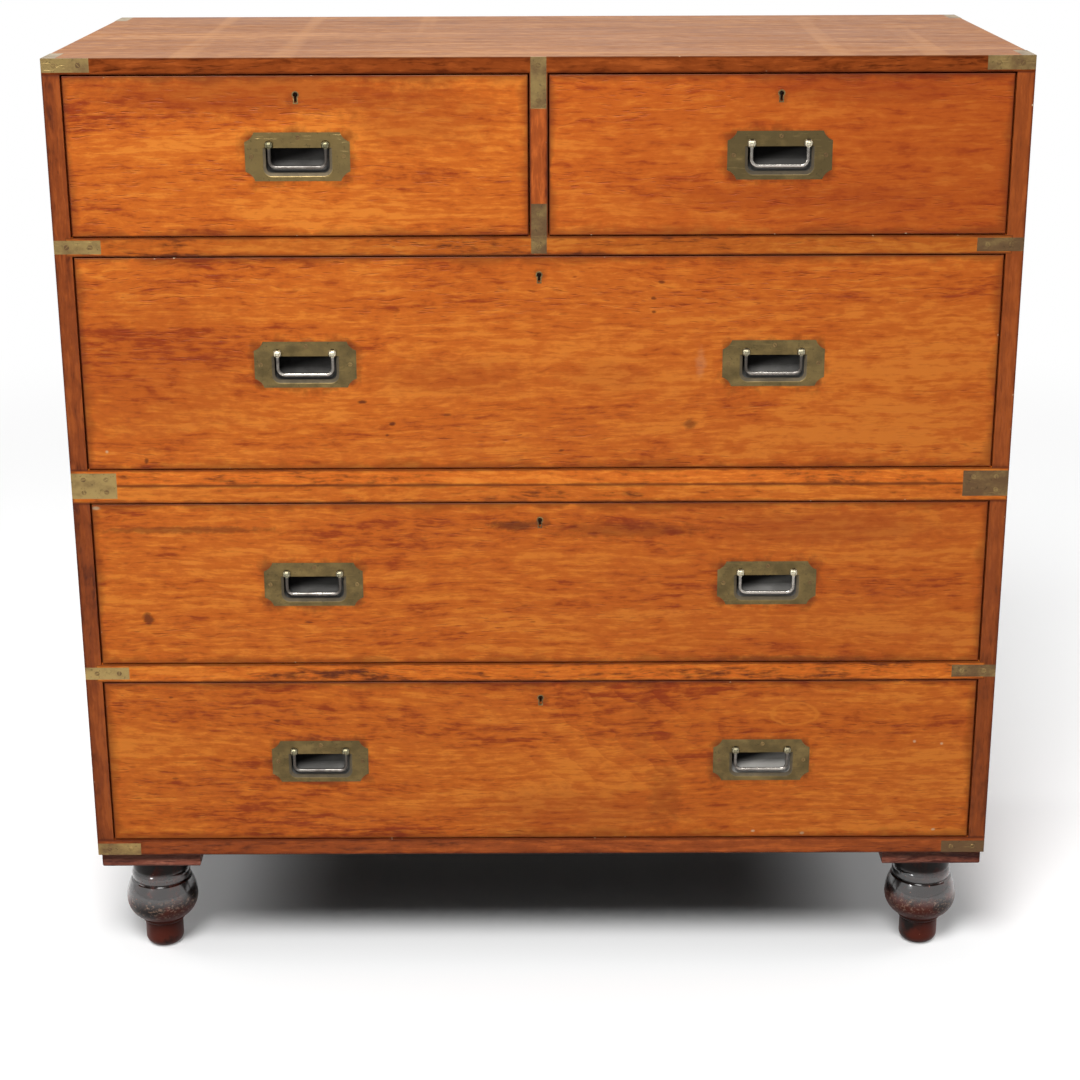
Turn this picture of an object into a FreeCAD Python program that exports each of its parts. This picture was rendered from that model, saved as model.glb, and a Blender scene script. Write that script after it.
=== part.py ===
import FreeCAD, Part

# A two-part brass-bound campaign chest: two short drawers over three long ones, in an upper and
# a lower section that lift apart, on four turned feet that screw off. Millimetres, +Z up, the
# front faces -Y, and the origin is under the middle of the chest, on the floor.

import math
import os
import re

import Sketcher

# ---------------------------------------------------------------------------------------------
# Driving sizes: name, millimetres, what it is
# ---------------------------------------------------------------------------------------------
SIZE_TABLE = [
    ("case_width", 990, "overall width of both sections"),
    ("case_depth", 455, "front edge to back panel"),
    ("side_thickness", 18, "side boards"),
    ("top_thickness", 16, "top board of the upper section"),
    ("top_ease", 1.2, "rounded edges round the top"),
    ("upper_bottom_thickness", 17, "bottom board of the upper section"),
    ("lower_top_thickness", 19, "top board of the lower section"),
    ("lower_bottom_thickness", 18, "bottom board of the lower section"),
    ("upper_rail_thickness", 19, "rail under the short drawers"),
    ("lower_rail_thickness", 20, "rail between the two lower drawers"),
    ("divider_thickness", 18, "upright between the short drawers"),
    ("rail_depth", 70, "rails and divider, front to back"),
    ("housing_depth", 6, "how far a rail is let into a side"),
    ("back_thickness", 10, "back panels"),
    ("back_rebate", 9, "how far a back panel is let in all round"),
    ("top_row_height", 164, "opening of the short drawers"),
    ("second_row_height", 228, "opening of the deep long drawer"),
    ("third_row_height", 184, "opening of the third drawer"),
    ("bottom_row_height", 190, "opening of the bottom drawer"),
    ("runner_width", 40, "side runners"),
    ("centre_runner_width", 70, "runner between the short drawers"),
    ("guide_height", 30, "strip that keeps the short drawers apart"),
    ("stop_width", 40, "drawer stops, side to side"),
    ("stop_depth", 25, "drawer stops, front to back"),
    ("stop_height", 5, "drawer stops"),
    ("dowel_diameter", 14, "pegs that locate the upper section"),
    ("dowel_sink", 12, "how far a peg is let into the lower section"),
    ("dowel_rise", 11, "how far a peg stands up"),
    ("dowel_inset", 60, "pegs from the sides and from the front and back"),
    ("dowel_clearance", 0.25, "round each peg in the upper section"),
    # feet
    ("block_width", 110, "foot blocks"),
    ("block_thickness", 19.5, "foot blocks"),
    ("block_round", 3.5, "rounded lower edges of the foot blocks"),
    ("block_side_inset", 2, "foot blocks from the side of the case"),
    ("block_front_inset", 9, "foot blocks from the front and back of the case"),
    ("foot_height", 122, "turned foot below its block"),
    ("neck_diameter", 63, "top of the foot"),
    ("neck_length", 25.5, "straight part under the block"),
    ("collar_diameter", 67, "ring above the bulb"),
    ("collar_drop", 31.5, "ring's widest point below the block"),
    ("incision_drop", 37.5, "cut line between ring and bulb, below the block"),
    ("incision_depth", 1.2, "cut line"),
    ("bulb_diameter", 81, "widest part of the foot"),
    ("bulb_drop", 62, "widest part below the block"),
    ("bulb_end_diameter", 48, "lower end of the bulb"),
    ("bulb_end_drop", 86.5, "lower end of the bulb below the block"),
    ("bead_round", 3.3, "bead between bulb and toe"),
    ("waist_diameter", 41, "groove over the toe"),
    ("waist_drop", 91.5, "groove below the block"),
    ("toe_diameter", 43, "long toe at the bottom"),
    ("toe_length", 28, "toe"),
    ("sole_diameter", 22, "flat that stands on the floor"),
    ("spigot_diameter", 32, "screw end of the foot"),
    ("spigot_length", 18, "screw end of the foot"),
    ("spigot_clearance", 0.2, "round the screw end"),
    # drawers
    ("drawer_recess", 1, "drawer faces behind the case front"),
    ("front_ease", 1, "rounded edges of the drawer faces"),
    ("drawer_rear_gap", 14, "behind a shut drawer"),
    ("drawer_side_gap", 1.5, "each side of a drawer"),
    ("drawer_head_gap", 1.5, "over a drawer front"),
    ("drawer_foot_gap", 1, "under a drawer front"),
    ("front_thickness", 20, "drawer fronts"),
    ("lining_thickness", 10, "drawer sides"),
    ("lining_drop", 3, "drawer side's top below the front's"),
    ("drawer_back_thickness", 9, "drawer backs"),
    ("drawer_back_inset", 4, "drawer back from the ends of the sides"),
    ("drawer_back_drop", 6, "drawer back's top below the sides'"),
    ("panel_thickness", 7, "drawer bottoms"),
    ("panel_height", 8, "drawer bottom above the drawer's lower edge"),
    ("groove_depth", 5, "grooves that hold a drawer bottom"),
    ("dovetail_lap", 6, "wood left in front of the dovetails"),
    ("dovetail_pitch", 40, "about one dovetail in each such height"),
    ("dovetail_margin", 6, "half pin at the top and foot of a joint"),
    ("dovetail_pin", 9, "pin between two tails, at its narrow end"),
    ("dovetail_flare", 2, "how much a tail widens on each edge"),
    # drawer locks
    ("lock_width", 54, "lock case"),
    ("lock_height", 38, "lock case"),
    ("lock_thickness", 9, "lock case"),
    ("selvedge_width", 66, "plate in the top edge of a drawer front"),
    ("selvedge_thickness", 2, "plate in the top edge of a drawer front"),
    ("bolt_width", 24, "lock bolt"),
    ("bolt_thickness", 5, "lock bolt"),
    ("bolt_height", 20, "lock bolt"),
    ("bolt_throw", 7, "how far a bolt rises"),
    ("bolt_clearance", 0.3, "round a bolt"),
    ("key_drop", 19, "key pin below the top of a drawer front"),
    ("key_diameter", 5, "round part of a keyhole"),
    ("key_slot_width", 2.6, "slot of a keyhole"),
    ("key_slot_length", 8, "slot of a keyhole below the pin"),
    ("escutcheon_wall", 1.2, "brass thread round a keyhole"),
    ("escutcheon_depth", 3, "brass thread round a keyhole"),
    # recessed drawer pulls
    ("pull_offset", 243, "long drawers' pulls from the middle"),
    ("pull_plate_width", 106, "brass plate"),
    ("pull_plate_height", 49, "brass plate"),
    ("pull_plate_thickness", 1.6, "brass plate"),
    ("pull_corner", 9.5, "scooped corners of the plate"),
    ("pull_scoop", 14, "radius of the scoops"),
    ("pull_opening_width", 64.5, "hand hole"),
    ("pull_opening_height", 26, "hand hole"),
    ("pull_opening_drop", 15.5, "hand hole below the top of the plate"),
    ("pull_opening_corner", 6, "lower corners of the hand hole"),
    ("pull_lip", 3.2, "bevel round the hand hole, on the plate's face"),
    ("pull_lip_depth", 1.4, "bevel round the hand hole, into the plate"),
    ("pull_cup_depth", 13, "cup behind the hand hole"),
    ("pull_cup_scoop", 12, "how far the cup's floor rises to the back"),
    ("pull_wall", 1.2, "cup"),
    ("pull_pivot_rise", 3, "bail pivot above the hand hole"),
    ("pull_knuckle", 8.5, "knuckles that hold the bail"),
    ("pull_knuckle_round", 2.8, "rounded ends of the knuckles"),
    ("pull_pin", 2.6, "pin through a knuckle"),
    ("pull_eye", 7, "eye of the bail"),
    ("pull_eye_thickness", 3, "eye of the bail"),
    ("pull_span", 57, "bail, pivot to pivot"),
    ("pull_drop", 22.6, "bail's bar below its pivot"),
    ("pull_bend", 7, "bail's corners"),
    ("pull_wire", 3.6, "bail"),
    # carrying handles in the sides
    ("carry_plate_width", 128, "brass plate"),
    ("carry_plate_height", 60, "brass plate"),
    ("carry_plate_thickness", 2, "brass plate"),
    ("carry_corner", 11, "scooped corners of the plate"),
    ("carry_scoop", 16, "radius of the scoops"),
    ("carry_opening_width", 84, "hand hole"),
    ("carry_opening_height", 32, "hand hole"),
    ("carry_opening_drop", 18, "hand hole below the top of the plate"),
    ("carry_opening_corner", 8, "lower corners of the hand hole"),
    ("carry_lip", 2.6, "bevel round the hand hole, on the plate's face"),
    ("carry_lip_depth", 1.7, "bevel round the hand hole, into the plate"),
    ("carry_cup_depth", 12, "cup behind the hand hole"),
    ("carry_cup_scoop", 12, "how far the cup's floor rises to the back"),
    ("carry_wall", 1.4, "cup"),
    ("carry_pivot_rise", 3.8, "bail pivot above the hand hole"),
    ("carry_knuckle", 10.5, "knuckles that hold the bail"),
    ("carry_knuckle_round", 3, "rounded ends of the knuckles"),
    ("carry_pin", 3.2, "pin through a knuckle"),
    ("carry_eye", 8.6, "eye of the bail"),
    ("carry_eye_thickness", 3.8, "eye of the bail"),
    ("carry_span", 74, "bail, pivot to pivot"),
    ("carry_drop", 29.5, "bail's bar below its pivot"),
    ("carry_bend", 9, "bail's corners"),
    ("carry_wire", 5.6, "bail"),
    # clearances that both kinds of handle share
    ("pin_clearance", 0.05, "round a handle's pin"),
    ("knuckle_clearance", 0.3, "beside and under a bail's eye"),
    ("seat_clearance", 1.2, "round and behind a cup in the wood"),
    # brass straps, let in flush
    ("strap_length", 48, "each leg of a strap"),
    ("strap_height", 14, "straps"),
    ("strap_thickness", 1.6, "straps"),
    ("divider_strap_length", 51, "upright straps on the divider"),
    ("divider_strap_width", 16, "upright straps on the divider"),
]
SIZES = {name for name, _, _ in SIZE_TABLE}

doc = FreeCAD.newDocument("campaign_chest")
sheet = doc.addObject("Spreadsheet::Sheet", "sizes")
for row, (name, millimetres, meaning) in enumerate(SIZE_TABLE, start=1):
    sheet.set(f"A{row}", name)
    sheet.set(f"B{row}", str(millimetres))
    sheet.set(f"C{row}", meaning)
    sheet.setAlias(f"B{row}", name)
doc.recompute()

# ---------------------------------------------------------------------------------------------
# Levels and planes, as sums of the driving sizes
# ---------------------------------------------------------------------------------------------
# handles stand proud of the front by this much, and the origin is under the middle of it all
PROUD = "(pull_knuckle / 2 - drawer_recess)"
FRONT = f"({PROUD} - case_depth) / 2"
REAR = f"({PROUD} + case_depth) / 2"
LEFT = "(-case_width / 2)"
INSIDE = "(case_width / 2 - side_thickness)"

LOWER_BASE = "(foot_height + block_thickness)"
BOTTOM_ROW = f"({LOWER_BASE} + lower_bottom_thickness)"
LOWER_RAIL = f"({BOTTOM_ROW} + bottom_row_height)"
THIRD_ROW = f"({LOWER_RAIL} + lower_rail_thickness)"
LOWER_TOP = f"({THIRD_ROW} + third_row_height)"
SEAM = f"({LOWER_TOP} + lower_top_thickness)"
SECOND_ROW = f"({SEAM} + upper_bottom_thickness)"
UPPER_RAIL = f"({SECOND_ROW} + second_row_height)"
TOP_ROW = f"({UPPER_RAIL} + upper_rail_thickness)"
UPPER_TOP = f"({TOP_ROW} + top_row_height)"
SUMMIT = f"({UPPER_TOP} + top_thickness)"

FACE = f"({FRONT} + drawer_recess)"
BEHIND_RAIL = f"({FRONT} + rail_depth)"
BEFORE_BACK = f"({REAR} - back_thickness)"
DRAWER_LENGTH = f"({BEFORE_BACK} - drawer_rear_gap - {FACE})"


def bound(expression):
    """The expression with each size's name made a reference to its cell."""
    return re.sub(
        r"[a-z_]+", lambda word: "sizes." + word[0] if word[0] in SIZES else word[0], expression
    )


def number(expression):
    """What the expression is worth now."""
    return float(sheet.evalExpression(bound(expression).replace("sizes.", "")))


# ---------------------------------------------------------------------------------------------
# Small helpers: every length they take is an expression in the sheet's names
# ---------------------------------------------------------------------------------------------
def bind(thing, **properties):
    for path, expression in properties.items():
        thing.setExpression(path, bound(expression))


def place(thing, x="0", y="0", z="0"):
    for axis, expression in zip("xyz", (x, y, z)):
        thing.setExpression(f"Placement.Base.{axis}", bound(expression))


def box(name, x, y, z, length, width, height):
    """A board or block with its low corner at x, y, z."""
    thing = doc.addObject("Part::Box", name)
    bind(thing, Length=length, Width=width, Height=height)
    place(thing, x, y, z)
    return thing


def cylinder(name, diameter, height, x="0", y="0", z="0"):
    """An upright cylinder that stands on x, y, z."""
    thing = doc.addObject("Part::Cylinder", name)
    bind(thing, Radius=f"({diameter}) / 2", Height=height)
    place(thing, x, y, z)
    return thing


def together(name, things):
    """Separate pieces side by side in one object."""
    thing = doc.addObject("Part::Compound", name)
    thing.Links = things
    return thing


def joined(name, things):
    """Pieces made as one."""
    thing = doc.addObject("Part::MultiFuse", name)
    thing.Shapes = things
    return thing


def carved(name, base, *tools):
    """The base with each tool's shape taken out of it in turn."""
    for count, tool in enumerate(tools, start=1):
        cut = doc.addObject("Part::Cut", f"{name}_{count}")
        cut.Base = base
        cut.Tool = tool
        base = cut
    return base


def mirrored(name, source, x="0", y="0", across="x"):
    """The source's twin on the other side of an upright plane through x, y."""
    thing = doc.addObject("Part::Mirroring", name)
    thing.Source = source
    thing.Normal = FreeCAD.Vector(1, 0, 0) if across == "x" else FreeCAD.Vector(0, 1, 0)
    thing.setExpression("Base.x", bound(x))
    thing.setExpression("Base.y", bound(y))
    return thing


def copies(name, pattern, spots):
    """The pattern piece set down at each spot: x, y, z and a turn about Z in degrees."""
    links = []
    for count, (x, y, z, turn) in enumerate(spots, start=1):
        link = doc.addObject("App::Link", f"{name}_copy_{count}")
        link.LinkedObject = pattern
        link.LinkTransform = True
        link.Placement = FreeCAD.Placement(
            FreeCAD.Vector(), FreeCAD.Rotation(FreeCAD.Vector(0, 0, 1), turn)
        )
        place(link, x, y, z)
        links.append(link)
    return together(name, links)


def new_body(name):
    return doc.addObject("PartDesign::Body", name)


def sketch(body, name, plane, offset="0"):
    """An empty sketch on one of the body's own planes, moved out along its normal."""
    origin = body.Origin.OriginFeatures
    thing = body.newObject("Sketcher::SketchObject", name)
    thing.AttachmentSupport = [(next(f for f in origin if f.Role == plane + "_Plane"), "")]
    thing.MapMode = "FlatFace"
    thing.setExpression("AttachmentOffset.Base.z", bound(offset))
    return thing


def pin_point(drawing, geometry, end, u, v):
    """Holds one end of a line or arc, or a circle's centre, at u, v."""
    for kind, expression in (("DistanceX", u), ("DistanceY", v)):
        rule = Sketcher.Constraint(kind, -1, 1, geometry, end, number(expression))
        index = drawing.addConstraint(rule)
        drawing.setExpression(f"Constraints[{index}]", bound(expression))


def radius_rule(drawing, geometry, radius):
    index = drawing.addConstraint(Sketcher.Constraint("Radius", geometry, number(radius)))
    drawing.setExpression(f"Constraints[{index}]", bound(radius))


def circle(drawing, u, v, diameter):
    centre = FreeCAD.Vector(number(u), number(v), 0)
    radius = f"({diameter}) / 2"
    round_line = Part.Circle(centre, FreeCAD.Vector(0, 0, 1), number(radius))
    geometry = drawing.addGeometry(round_line, False)
    pin_point(drawing, geometry, 3, u, v)
    radius_rule(drawing, geometry, radius)


def arc_between(start, end, radius, side):
    """The short arc from start to end whose centre lies to the left (+1) or the right (-1)."""
    chord = end - start
    reach = math.sqrt(max(radius**2 - (chord.Length / 2) ** 2, 0))
    left = FreeCAD.Vector(-chord.y, chord.x, 0).normalize()
    centre = (start + end) / 2 + left * reach * side
    first, last = (start, end) if side > 0 else (end, start)
    angles = [math.atan2(p.y - centre.y, p.x - centre.x) for p in (first, last)]
    full = Part.Circle(centre, FreeCAD.Vector(0, 0, 1), radius)
    return Part.ArcOfCircle(full, angles[0], angles[1])


def outline(drawing, corners, closed=True):
    """Lines and arcs through the corners. A corner is u, v, or u, v, radius, side where the
    stretch that leaves it is an arc with its centre on that side (+1 left, -1 right)."""
    points = [FreeCAD.Vector(number(c[0]), number(c[1]), 0) for c in corners]
    stretches = len(corners) if closed else len(corners) - 1
    ends = []
    for i in range(stretches):
        start, end = points[i], points[(i + 1) % len(points)]
        if len(corners[i]) == 4:
            radius, side = corners[i][2:]
            geometry = drawing.addGeometry(arc_between(start, end, number(radius), side), False)
            ends.append((geometry, 1, 2) if side > 0 else (geometry, 2, 1))
        else:
            geometry = drawing.addGeometry(Part.LineSegment(start, end), False)
            ends.append((geometry, 1, 2))
    for i, (geometry, first, _) in enumerate(ends):
        if i or closed:
            before = ends[i - 1]
            drawing.addConstraint(
                Sketcher.Constraint("Coincident", before[0], before[2], geometry, first)
            )
        pin_point(drawing, geometry, first, corners[i][0], corners[i][1])
        if len(corners[i]) == 4:
            radius_rule(drawing, geometry, corners[i][2])
    if not closed:
        pin_point(drawing, ends[-1][0], ends[-1][2], corners[-1][0], corners[-1][1])


def rectangle(drawing, u, v, width, height):
    far_u, far_v = f"({u}) + ({width})", f"({v}) + ({height})"
    outline(drawing, [(u, v), (far_u, v), (far_u, far_v), (u, far_v)])


def feature(body, kind, drawing, length, symmetric=False, backward=False):
    """A Pad or a Pocket of the drawing."""
    thing = body.newObject(f"PartDesign::{kind}", f"{body.Name}_{kind}")
    thing.Profile = drawing
    thing.SideType = "Symmetric" if symmetric else "One side"
    thing.Reversed = backward
    bind(thing, Length=length)
    return thing


def eased_board(name, at, lengths, toward, ease):
    """A board with its low corner at a place, and rounded edges round the face that looks
    furthest toward a direction."""
    body = new_body(name)
    plan = sketch(body, f"{name}_plan", "XY")
    rectangle(plan, "0", "0", lengths[0], lengths[1])
    slab = feature(body, "Pad", plan, lengths[2])
    doc.recompute()
    faces = enumerate(slab.Shape.Faces, start=1)
    chosen = max(faces, key=lambda face: face[1].CenterOfMass.dot(toward))
    rounding = body.newObject("PartDesign::Fillet", f"{name}_rounding")
    rounding.Base = (slab, [f"Face{chosen[0]}"])
    bind(rounding, Radius=ease)
    place(body, *at)
    return body


NODES = {}


def node(label, thing):
    """Names a finished sub-part."""
    thing.Label = label
    NODES[label] = thing
    return thing


# ---------------------------------------------------------------------------------------------
# Recessed handles: a plate with a dished cup and two knuckles, and the bail that hangs in them
# ---------------------------------------------------------------------------------------------
def scooped_plate(drawing, kind):
    """The plate's outline: a rectangle whose corners are scooped out by shallow arcs."""
    half_width, half_height = f"{kind}_plate_width / 2", f"{kind}_plate_height / 2"
    corner = f"{kind}_corner"
    corners = []
    for u, v in ((1, -1), (1, 1), (-1, 1), (-1, -1)):
        beside = (f"{u} * ({half_width} - {corner})", f"{v} * {half_height}")
        along = (f"{u} * {half_width}", f"{v} * ({half_height} - {corner})")
        first, last = (beside, along) if u * v < 0 else (along, beside)
        corners += [(*first, f"{kind}_scoop", -1), last]
    outline(drawing, corners)


def opening_top(kind):
    return f"({kind}_plate_height / 2 - {kind}_opening_drop)"


def pivot_height(kind):
    return f"({opening_top(kind)} + {kind}_pivot_rise)"


def cup_section(drawing, kind, grow, lift="0", tuck="0", flare="0"):
    """The hand hole's outline, grown by a wall, with its floor lifted and its ends tucked in,
    or with its floor and ends flared out."""
    half = f"({kind}_opening_width / 2 + {grow} - {tuck} + {flare})"
    top = f"({opening_top(kind)} + {grow})"
    floor = f"({opening_top(kind)} - {kind}_opening_height - {grow} + {lift} - {flare})"
    bend = f"({kind}_opening_corner + {grow} + {flare})"
    outline(
        drawing,
        [
            (f"-{half}", top),
            (f"-{half}", f"{floor} + {bend}", bend, 1),
            (f"-{half} + {bend}", floor),
            (f"{half} - {bend}", floor, bend, 1),
            (half, f"{floor} + {bend}"),
            (half, top),
        ],
    )


def loft(body, name, operation, sections):
    """Straight from each section to the next."""
    thing = body.newObject(f"PartDesign::{operation}", f"{body.Name}_{name}")
    thing.Profile = sections[0]
    thing.Sections = sections[1:]
    thing.Ruled = True


def cup_loft(body, kind, operation, grow):
    """The cup's outside or inside: its floor curves up to the back in two slopes."""
    steps = [("0", "0", "0"), ("0.55", "0.25", "0.3"), ("1", "1", "1")]
    sections = []
    for count, (depth, lift, tuck) in enumerate(steps):
        offset = f"-({kind}_cup_depth + {grow}) * {depth}"
        drawing = sketch(body, f"{body.Name}_{operation}_{count}", "XZ", offset)
        cup_section(drawing, kind, grow, f"{kind}_cup_scoop * {lift}", f"{kind}_wall * {tuck}")
        sections.append(drawing)
    loft(body, operation, operation, sections)


def lip_loft(body, kind):
    """The bevel round the ends and the foot of the hand hole."""
    face = sketch(body, f"{kind}_lip_face", "XZ")
    cup_section(face, kind, "0", flare=f"{kind}_lip")
    inside = sketch(body, f"{kind}_lip_inside", "XZ", f"-{kind}_lip_depth")
    cup_section(inside, kind, "0")
    loft(body, "lip", "SubtractiveLoft", [face, inside])


def knuckle(body, kind, middle):
    """A barrel along X with rounded ends."""
    half, radius, bend = f"{kind}_knuckle / 2", f"{kind}_knuckle / 2", f"{kind}_knuckle_round"
    profile = sketch(body, f"{kind}_knuckle_profile", "XY", pivot_height(kind))
    outline(
        profile,
        [
            (f"{middle} - {half}", "0"),
            (f"{middle} - {half}", f"-({radius} - {bend})", bend, 1),
            (f"{middle} - {half} + {bend}", f"-{radius}"),
            (f"{middle} + {half} - {bend}", f"-{radius}", bend, 1),
            (f"{middle} + {half}", f"-({radius} - {bend})"),
            (f"{middle} + {half}", "0"),
        ],
    )
    turned = body.newObject("PartDesign::Revolution", f"{kind}_knuckle_turned")
    turned.Profile = profile
    turned.ReferenceAxis = (profile, ["H_Axis"])
    turned.Angle = 360


def handle_plate(kind):
    """The plate, its cup and its two slotted knuckles, each with its pin. The origin is the
    middle of the plate's face, and the cup reaches back along +Y."""
    body = new_body(f"{kind}_plate")
    face = sketch(body, f"{kind}_face", "XZ")
    scooped_plate(face, kind)
    feature(body, "Pad", face, f"{kind}_plate_thickness", backward=True)
    cup_loft(body, kind, "AdditiveLoft", f"{kind}_wall")
    cup_loft(body, kind, "SubtractiveLoft", "0")
    lip_loft(body, kind)
    slot = f"{kind}_eye_thickness + 2 * knuckle_clearance"
    turning = f"{kind}_knuckle + knuckle_clearance"
    stages = [
        ("Pocket", turning, slot),
        ("Pad", f"{kind}_pin", f"{slot} + 2 * knuckle_clearance"),
    ]
    for side in ("-1", "1"):
        middle = f"{side} * {kind}_span / 2"
        knuckle(body, kind, middle)
        for operation, diameter, length in stages:
            across = sketch(body, f"{kind}_across", "YZ", middle)
            circle(across, "0", pivot_height(kind), diameter)
            feature(body, operation, across, length, symmetric=True)
    return body


def handle_seat(kind):
    """The room that a handle takes in the wood: its plate's inlay and the mortise behind it."""
    body = new_body(f"{kind}_seat")
    face = sketch(body, f"{kind}_inlay", "XZ")
    scooped_plate(face, kind)
    feature(body, "Pad", face, f"{kind}_plate_thickness", backward=True)
    half = f"({kind}_opening_width / 2 + {kind}_wall + seat_clearance)"
    low = f"({opening_top(kind)} - {kind}_opening_height - {kind}_wall - seat_clearance)"
    high = f"({pivot_height(kind)} + {kind}_knuckle / 2 + seat_clearance)"
    mortise = sketch(body, f"{kind}_mortise", "XZ")
    rectangle(mortise, f"-{half}", low, f"2 * {half}", f"{high} - {low}")
    depth = f"{kind}_cup_depth + {kind}_wall + seat_clearance"
    feature(body, "Pad", mortise, depth, backward=True)
    return body


def bail(kind):
    """A bail of round wire with flattened eyes. The origin is the middle of its pivot axis."""
    body = new_body(f"{kind}_bail")
    half, bend = f"{kind}_span / 2", f"{kind}_bend"
    start = f"({kind}_knuckle / 2 + knuckle_clearance)"
    route = sketch(body, f"{kind}_route", "XZ")
    outline(
        route,
        [
            (f"-{half}", f"-{start}"),
            (f"-{half}", f"-{kind}_drop + {bend}", bend, 1),
            (f"-{half} + {bend}", f"-{kind}_drop"),
            (f"{half} - {bend}", f"-{kind}_drop", bend, 1),
            (half, f"-{kind}_drop + {bend}"),
            (half, f"-{start}"),
        ],
        closed=False,
    )
    ring = sketch(body, f"{kind}_ring", "XY", f"-{start}")
    circle(ring, f"-{half}", "0", f"{kind}_wire")
    wire = body.newObject("PartDesign::AdditivePipe", f"{kind}_wire_pipe")
    wire.Profile = ring
    wire.Spine = (route, [f"Edge{count}" for count in range(1, 6)])
    for side in ("-1", "1"):
        place_of_eye = f"{side} * {half}"
        eye = sketch(body, f"{kind}_eye_ring", "YZ", place_of_eye)
        circle(eye, "0", "0", f"{kind}_eye")
        feature(body, "Pad", eye, f"{kind}_eye_thickness", symmetric=True)
        neck = sketch(body, f"{kind}_neck", "YZ", place_of_eye)
        rectangle(
            neck, f"-{kind}_eye_thickness / 2", f"-{start} - {kind}_wire / 4",
            f"{kind}_eye_thickness", f"{start} + {kind}_wire / 4 - {kind}_pin",
        )
        feature(body, "Pad", neck, f"{kind}_eye_thickness", symmetric=True)
        hole = sketch(body, f"{kind}_eye_hole", "YZ", place_of_eye)
        circle(hole, "0", "0", f"{kind}_pin + 2 * pin_clearance")
        feature(body, "Pocket", hole, f"2 * {kind}_eye_thickness", symmetric=True)
    return body


# ---------------------------------------------------------------------------------------------
# Brass straps
# ---------------------------------------------------------------------------------------------
def angle_strap():
    """A flat strap bent round an upright corner. The origin is the corner's foot, with one leg
    along +X and one along +Y."""
    body = new_body("angle_strap")
    plan = sketch(body, "angle_plan", "XY")
    outline(
        plan,
        [
            ("0", "0"),
            ("strap_length", "0"),
            ("strap_length", "strap_thickness"),
            ("strap_thickness", "strap_thickness"),
            ("strap_thickness", "strap_length"),
            ("0", "strap_length"),
        ],
    )
    feature(body, "Pad", plan, "strap_height")
    return body


def four_corners(z):
    """Where the angle strap stands at the four corners of the case, at one height."""
    right = "case_width / 2"
    return [
        (LEFT, FRONT, z, 0),
        (right, FRONT, z, 90),
        (right, REAR, z, 180),
        (LEFT, REAR, z, 270),
    ]


def top_corners(angle):
    """The upper corners, which have a third leg that lies along the top board's end."""
    z = f"{SUMMIT} - strap_height"
    leg = box(
        "top_leg", LEFT, FRONT, f"{SUMMIT} - strap_thickness",
        "strap_height", "strap_length", "strap_thickness",
    )
    front_left = joined("top_corner", [copies("top_angle", angle, four_corners(z)[:1]), leg])
    rear_left = mirrored("top_corner_rear", front_left, y=f"({FRONT} + {REAR}) / 2", across="y")
    right = [mirrored("top_corner_right", corner) for corner in (front_left, rear_left)]
    return [front_left, rear_left, *right]


def rail_ends(name, angle, level, thickness):
    """The straps over both ends of a rail, at the front corners only."""
    z = f"{level} + ({thickness} - strap_height) / 2"
    return copies(name, angle, four_corners(z)[:2])


def upper_straps(angle):
    upright = [
        ("divider_strap_top", f"{SUMMIT} - divider_strap_length"),
        ("divider_strap_foot", f"{UPPER_RAIL} + strap_thickness"),
    ]
    divider = [
        box(
            name, "-divider_strap_width / 2", FRONT, z,
            "divider_strap_width", "strap_thickness", "divider_strap_length",
        )
        for name, z in upright
    ]
    return together(
        "upper_straps",
        [
            *top_corners(angle),
            copies("upper_foot_straps", angle, four_corners(SEAM)),
            rail_ends("upper_rail_straps", angle, UPPER_RAIL, "upper_rail_thickness"),
            *divider,
        ],
    )


def lower_straps(angle):
    return together(
        "lower_straps",
        [
            copies("lower_head_straps", angle, four_corners(f"{SEAM} - strap_height")),
            copies("lower_foot_straps", angle, four_corners(LOWER_BASE)),
            rail_ends("lower_rail_straps", angle, LOWER_RAIL, "lower_rail_thickness"),
        ],
    )


# ---------------------------------------------------------------------------------------------
# The two cases
# ---------------------------------------------------------------------------------------------
def carrying_spots(low, high):
    """A carrying handle in the middle of each side of a section, as high as half its height."""
    y, z = f"({FRONT} + {REAR}) / 2", f"({low} + {high}) / 2"
    return [(LEFT, y, z, -90), ("case_width / 2", y, z, 90)]


def back_panel(name, low, high):
    """A back panel that reaches down over the bottom board and up into the top board."""
    half = f"({INSIDE} + back_rebate)"
    return box(
        name, f"-{half}", BEFORE_BACK, low,
        f"2 * {half}", "back_thickness", f"{high} + back_rebate - {low}",
    )


def rail(name, level, thickness):
    half = f"({INSIDE} + housing_depth)"
    return box(name, f"-{half}", FRONT, level, f"2 * {half}", "rail_depth", thickness)


def full_board(name, level, thickness, depth="case_depth"):
    return box(name, LEFT, FRONT, level, "case_width", depth, thickness)


def side_pair(name, low, high, *tools):
    """Both sides of a section: one board and its twin."""
    height = f"{high} - {low}"
    blank = box(f"{name}_blank", LEFT, FRONT, low, "side_thickness", "case_depth", height)
    board = carved(name, blank, *tools)
    return together(f"{name}_pair", [board, mirrored(f"{name}_right", board)])


def runner(name, x, width, level, thickness):
    """A bearer from the back of a rail to the back panel."""
    return box(name, x, BEHIND_RAIL, level, width, f"{BEFORE_BACK} - {BEHIND_RAIL}", thickness)


def side_runners(name, level, thickness):
    left = runner(name, f"-{INSIDE}", "runner_width", level, thickness)
    return [left, mirrored(f"{name}_right", left)]


def stops(name, level, spots):
    """Blocks behind the drawer fronts that end a drawer's way in."""
    block = box(
        f"{name}_block", "-stop_width / 2", "0", "0", "stop_width", "stop_depth", "stop_height"
    )
    y = f"{FACE} + front_thickness"
    return copies(name, block, [(x, y, level, 0) for x in spots])


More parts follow.
